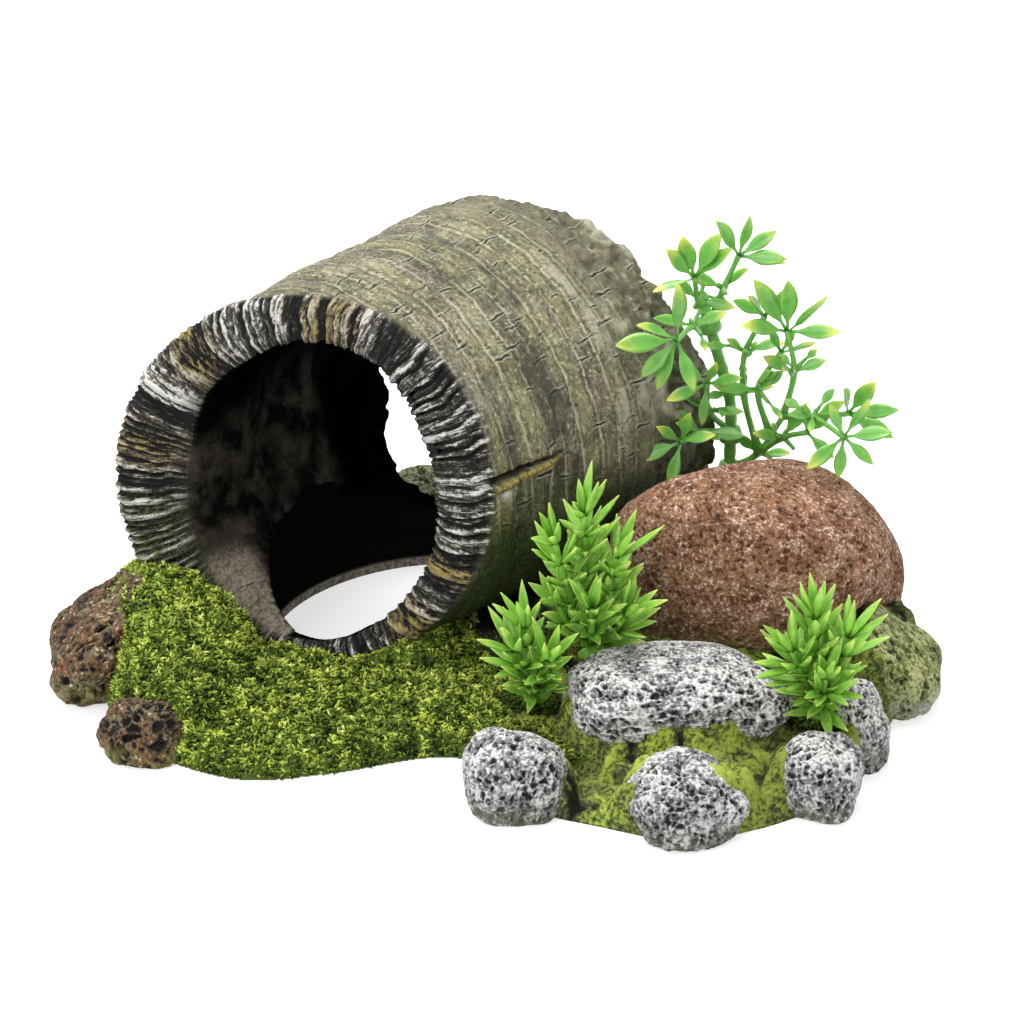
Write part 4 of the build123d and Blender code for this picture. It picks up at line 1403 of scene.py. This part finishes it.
def bush_pieces(name):
    """The stems, and one ring of leaves for each tier of the CAD bush."""
    tiers, shoots = BUSHES[name]
    random = np.random.default_rng(BUSH_SEEDS[name])
    neighbour = NEIGHBOUR.get(name, (0, 0, 0))
    body = name + "_bush"
    stems = Soup()
    add_plug(stems, SOCKETS[name])
    leaves = [Soup() for _ in range(tiers)]
    low = SOCKETS[name][2]
    high = max(tip[2] for _, tip, _ in shoots)
    for foot, tip, whorls in shoots:
        foot, tip = np.array(foot), np.array(tip)
        bulge = 0.12 * (tip - foot) * (1, 1, 0)
        add_twig(stems, [foot, (foot + tip) / 2 + bulge, tip], 0.85, 0.6, node=0.1)
        for whorl in range(whorls):
            share = 1 - 0.8 * (whorls - 1 - whorl) / max(whorls - 1, 1)
            centre = foot + (tip - foot) * share + bulge * 4 * share * (1 - share)
            tier = int(np.clip((centre[2] - low) / (high - low) * tiers, 0, tiers - 1))
            count, rise = (6, 66) if whorl == whorls - 1 else (8, 34 + 18 * share)
            add_whorl(leaves[tier], random, centre, unit(tip - foot), share, count, rise, neighbour)
    piece = stems.build("bush_" + name + "_stem_look", bush_material, body)
    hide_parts("bush_" + name + "_stem")
    for number, soup in enumerate(leaves, 1):
        piece = soup.build(f"bush_{name}_leaves_{number}", bush_material, body)
        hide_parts(f"bush_{name}_tier_{number}")


# Tall plant: the stem's foot, knee and tip, then the sprays. Each spray has its body, its collar and the
# collar's axis, and its shoots: the CAD's twigs, or close to them, and a few inner ones, each with the fan of
# leaves at its tip (how many, their middle bearing from straight up towards +X, their spread and length).
STEM_RADIUS = 1.5
STEM_FOOT, STEM_KNEE, STEM_TIP = (55.5, 32.4), (55.5, 32.4, 54.0), (48.0, 32.4, 80.0)
STEM_KNOTS = (14.0, 22.0, 30.0, 41.5, 50.0)  # heights below the knee
TOP_KNOTS = (0.08, 0.32, 0.56, 0.93)        # shares of the way from the knee to the tip
SPRAYS = {
    "upper": ("upper_spray", (49.8, 32.4, 73.8), (-0.277, 0, 0.961), [
        ([(49.8, 32.4, 74), (53, 32, 83), (56, 31, 91)], 5, 40, 130, 13),
        ([(49.8, 32.4, 74), (47, 32, 80), (46, 30, 86)], 5, -20, 150, 11),
        ([(49.8, 32.4, 74), (45.5, 23, 77), (41.5, 14.5, 77)], 6, -110, 190, 12.5),
    ]),
    "left": ("tall_plant", (55.5, 32.4, 46.0), (0, 0, 1), [
        ([(55.5, 32.4, 46.5), (48, 24, 50), (43, 16, 51)], 5, -50, 230, 10),
        ([(55.5, 32.4, 46.5), (50, 27, 54), (49, 22, 63)], 5, -50, 230, 9),
    ]),
    "right": ("right_spray", (55.5, 32.4, 37.0), (0, 0, 1), [
        ([(55.5, 32.4, 37), (62, 30, 42), (67, 24, 54)], 0, 0, 0, 0),
        ([(67, 24, 54), (69, 22, 66), (67, 22, 76)], 5, 10, 150, 14),
        ([(67, 24, 54), (73, 14, 58), (79, 3, 58)], 6, 110, 260, 10),
        ([(73, 14, 58), (81, 14, 59)], 4, 50, 130, 11),
        ([(62, 30, 42), (58, 28, 58), (58, 27, 69), (62, 24, 79)], 4, -10, 120, 9),
        ([(64, 27, 49), (61, 24, 61), (66, 24, 70)], 3, 15, 90, 8),
        ([(62, 30, 42), (67, 23, 49), (72, 17, 53)], 3, 60, 130, 8),
    ]),
}
KNOT_LEAF = 9.0                             # length of the pairs of leaves along a shoot
PEG_PROFILE = [(1.1, 0), (1.5, 0.5), (1.5, 3.2), (1.15, 3.9), (0.4, 4.0)]
COLLAR_PROFILE = [(1.62, -2.0), (2.5, -1.9), (2.8, -1.3), (2.7, 0.6), (2.3, 1.7), (1.62, 2.0)]


def add_fan(soup, random, root, count, bearing, spread, length):
    """Leaves fanned round a knot, turned towards the front."""
    for k in range(count):
        turn = radians(bearing + spread * (k / max(count - 1, 1) - 0.5)) + random.normal(0, 0.13)
        direction = unit(np.array((sin(turn), -random.uniform(0.05, 0.55), cos(turn))))
        size = length * random.uniform(0.82, 1.18)
        facing = (random.normal(0, 0.4), -0.75 + random.normal(0, 0.25), 0.65)
        add_leaf(soup, root, np.array(root) + direction * size, 0.33 * size * random.uniform(0.85, 1.1),
                 random.uniform(0.0, 1.0), facing, 0.3, random.uniform(-0.08, 0.1), 0.50, 0.2)


def add_sprig(soup, random, knot):
    """A short side twig with a small leaf, or a bare nub."""
    direction = unit(random.normal(size=3) + (0, -0.3, 0.5))
    end = np.array(knot) + direction * random.uniform(2.2, 4.2)
    middle = (np.array(knot) + end) / 2 + random.normal(0, 0.25, 3)
    add_twig(soup, [knot, middle, end], 0.55, 0.42, node=0.2, steps=3)
    if random.random() < 0.72:
        tip = end + unit(direction + random.normal(0, 0.45, 3)) * random.uniform(4.0, 6.5)
        add_leaf(soup, end, tip, random.uniform(1.7, 2.5), random.uniform(0.0, 1.0),
                 (random.normal(0, 0.4), -0.75, 0.65), 0.3, random.uniform(-0.1, 0.1), 0.55, 0.2)


def tall_plant_pieces():
    """The stem with its peg, and the three sprays on it."""
    stem = Soup()
    add_plug(stem, SOCKETS["tall"])
    knee, tip = np.array(STEM_KNEE), np.array(STEM_TIP)
    lower = [np.array((*STEM_FOOT, z)) for z in STEM_KNOTS]
    upper = [knee + (tip - knee) * share for share in TOP_KNOTS]
    add_twig(stem, lower + upper, STEM_RADIUS * 0.93, STEM_RADIUS * 0.9, node=0.14, steps=8)
    add_lathe(stem, tip - (tip - knee) * 0.09, tip - knee,
              PEG_PROFILE, steps=24)
    piece = stem.build("tall_plant_stem_look", tall_material, "tall_plant")
    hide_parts("tall_plant_stem")
    for number, (name, (body, collar, axis, shoots)) in enumerate(SPRAYS.items()):
        random = np.random.default_rng(70 + number)
        soup = Soup()
        add_lathe(soup, collar, axis, COLLAR_PROFILE, steps=32)
        for chain, *fan in shoots:
            add_twig(soup, chain, 0.95 if fan[0] == 0 else 0.8, 0.55, node=0.32)
            add_fan(soup, random, chain[-1], *fan)
            for knot in chain[1:-1]:
                add_fan(soup, random, knot, 2, random.uniform(-25, 25), 120, KNOT_LEAF)
                for _ in range(3):
                    add_sprig(soup, random, knot)
        piece = soup.build(f"tall_plant_spray_{name}_look", tall_material, body)
        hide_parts("tall_plant_spray_" + name)


# ---------------------------------------------------------------- studio
FLOOR = 4.0                                 # metres from the floor's middle to its edge
# Area lights: place in metres, size and power
LIGHTS = {"key": ((-0.15, 0.25, 0.95), 0.7, 11.0), "fill": ((-0.55, -0.75, 0.65), 0.6, 4.6)}
CAMERA_TARGET = (0.004, 0.0014, 0.040)
CAMERA_ELEVATION = radians(25)
CAMERA_DISTANCE = 0.750
CAMERA_LENS = 115.65


def studio():
    """Pale floor, soft light from above and the front, and the photograph's camera."""
    pale = Surface("studio_floor", Base_Color=(0.6, 0.6, 0.6, 1), Roughness=0.9, Specular_IOR_Level=0.0,
                   Emission_Color=(1, 1, 1, 1), Emission_Strength=0.6)
    mesh = bpy.data.meshes.new("floor")
    corners = [(-FLOOR, -FLOOR, 0), (FLOOR, -FLOOR, 0), (FLOOR, FLOOR, 0), (-FLOOR, FLOOR, 0)]
    mesh.from_pydata(corners, [], [(0, 1, 2, 3)])
    mesh.materials.append(pale.material)
    floor = bpy.data.objects.new("floor", mesh)
    bpy.context.scene.collection.objects.link(floor)

    world = bpy.data.worlds.new("studio")
    world.use_nodes = True
    background = world.node_tree.nodes["Background"]
    background.inputs["Color"].default_value = (1, 1, 1, 1)
    background.inputs["Strength"].default_value = 0.86
    bpy.context.scene.world = world
    bpy.context.scene.view_settings.view_transform = "Standard"

    target = Vector(CAMERA_TARGET)
    for name, (place, size, power) in LIGHTS.items():
        light = bpy.data.lights.new(name, "AREA")
        light.size = size
        light.energy = power
        lamp = bpy.data.objects.new(name, light)
        lamp.location = place
        lamp.rotation_euler = (target - Vector(place)).to_track_quat("-Z", "Y").to_euler()
        bpy.context.scene.collection.objects.link(lamp)

    camera_data = bpy.data.cameras.new("camera")
    camera_data.lens = CAMERA_LENS
    camera_data.sensor_width = 36
    camera_data.clip_start = 0.01
    camera = bpy.data.objects.new("camera", camera_data)
    away = Vector((0, -cos(CAMERA_ELEVATION), sin(CAMERA_ELEVATION)))
    camera.location = target + CAMERA_DISTANCE * away
    camera.rotation_euler = (target - camera.location).to_track_quat("-Z", "Y").to_euler()
    bpy.context.scene.collection.objects.link(camera)
    bpy.context.scene.camera = camera


base_material = base_finish()
window_material = window_finish()
moss_material = moss_finish()
bush_material = plastic_finish(
    "bush_leaf_look", (0.03, 0.10, 0.01), (0.27, 0.56, 0.07), (0.60, 0.78, 0.17), 0.42)
tall_material = plastic_finish(
    "tall_leaf_look", (0.035, 0.20, 0.02), (0.15, 0.40, 0.07), (0.72, 0.72, 0.12), 0.27)

log_piece()
base_piece()
socket_pieces()
moss_mat()
curl_random = np.random.default_rng(5)
moss_curls(curl_random)
socket_crumbs(curl_random)
stone_pieces()
for bush in BUSHES:
    bush_pieces(bush)
tall_plant_pieces()
studio()
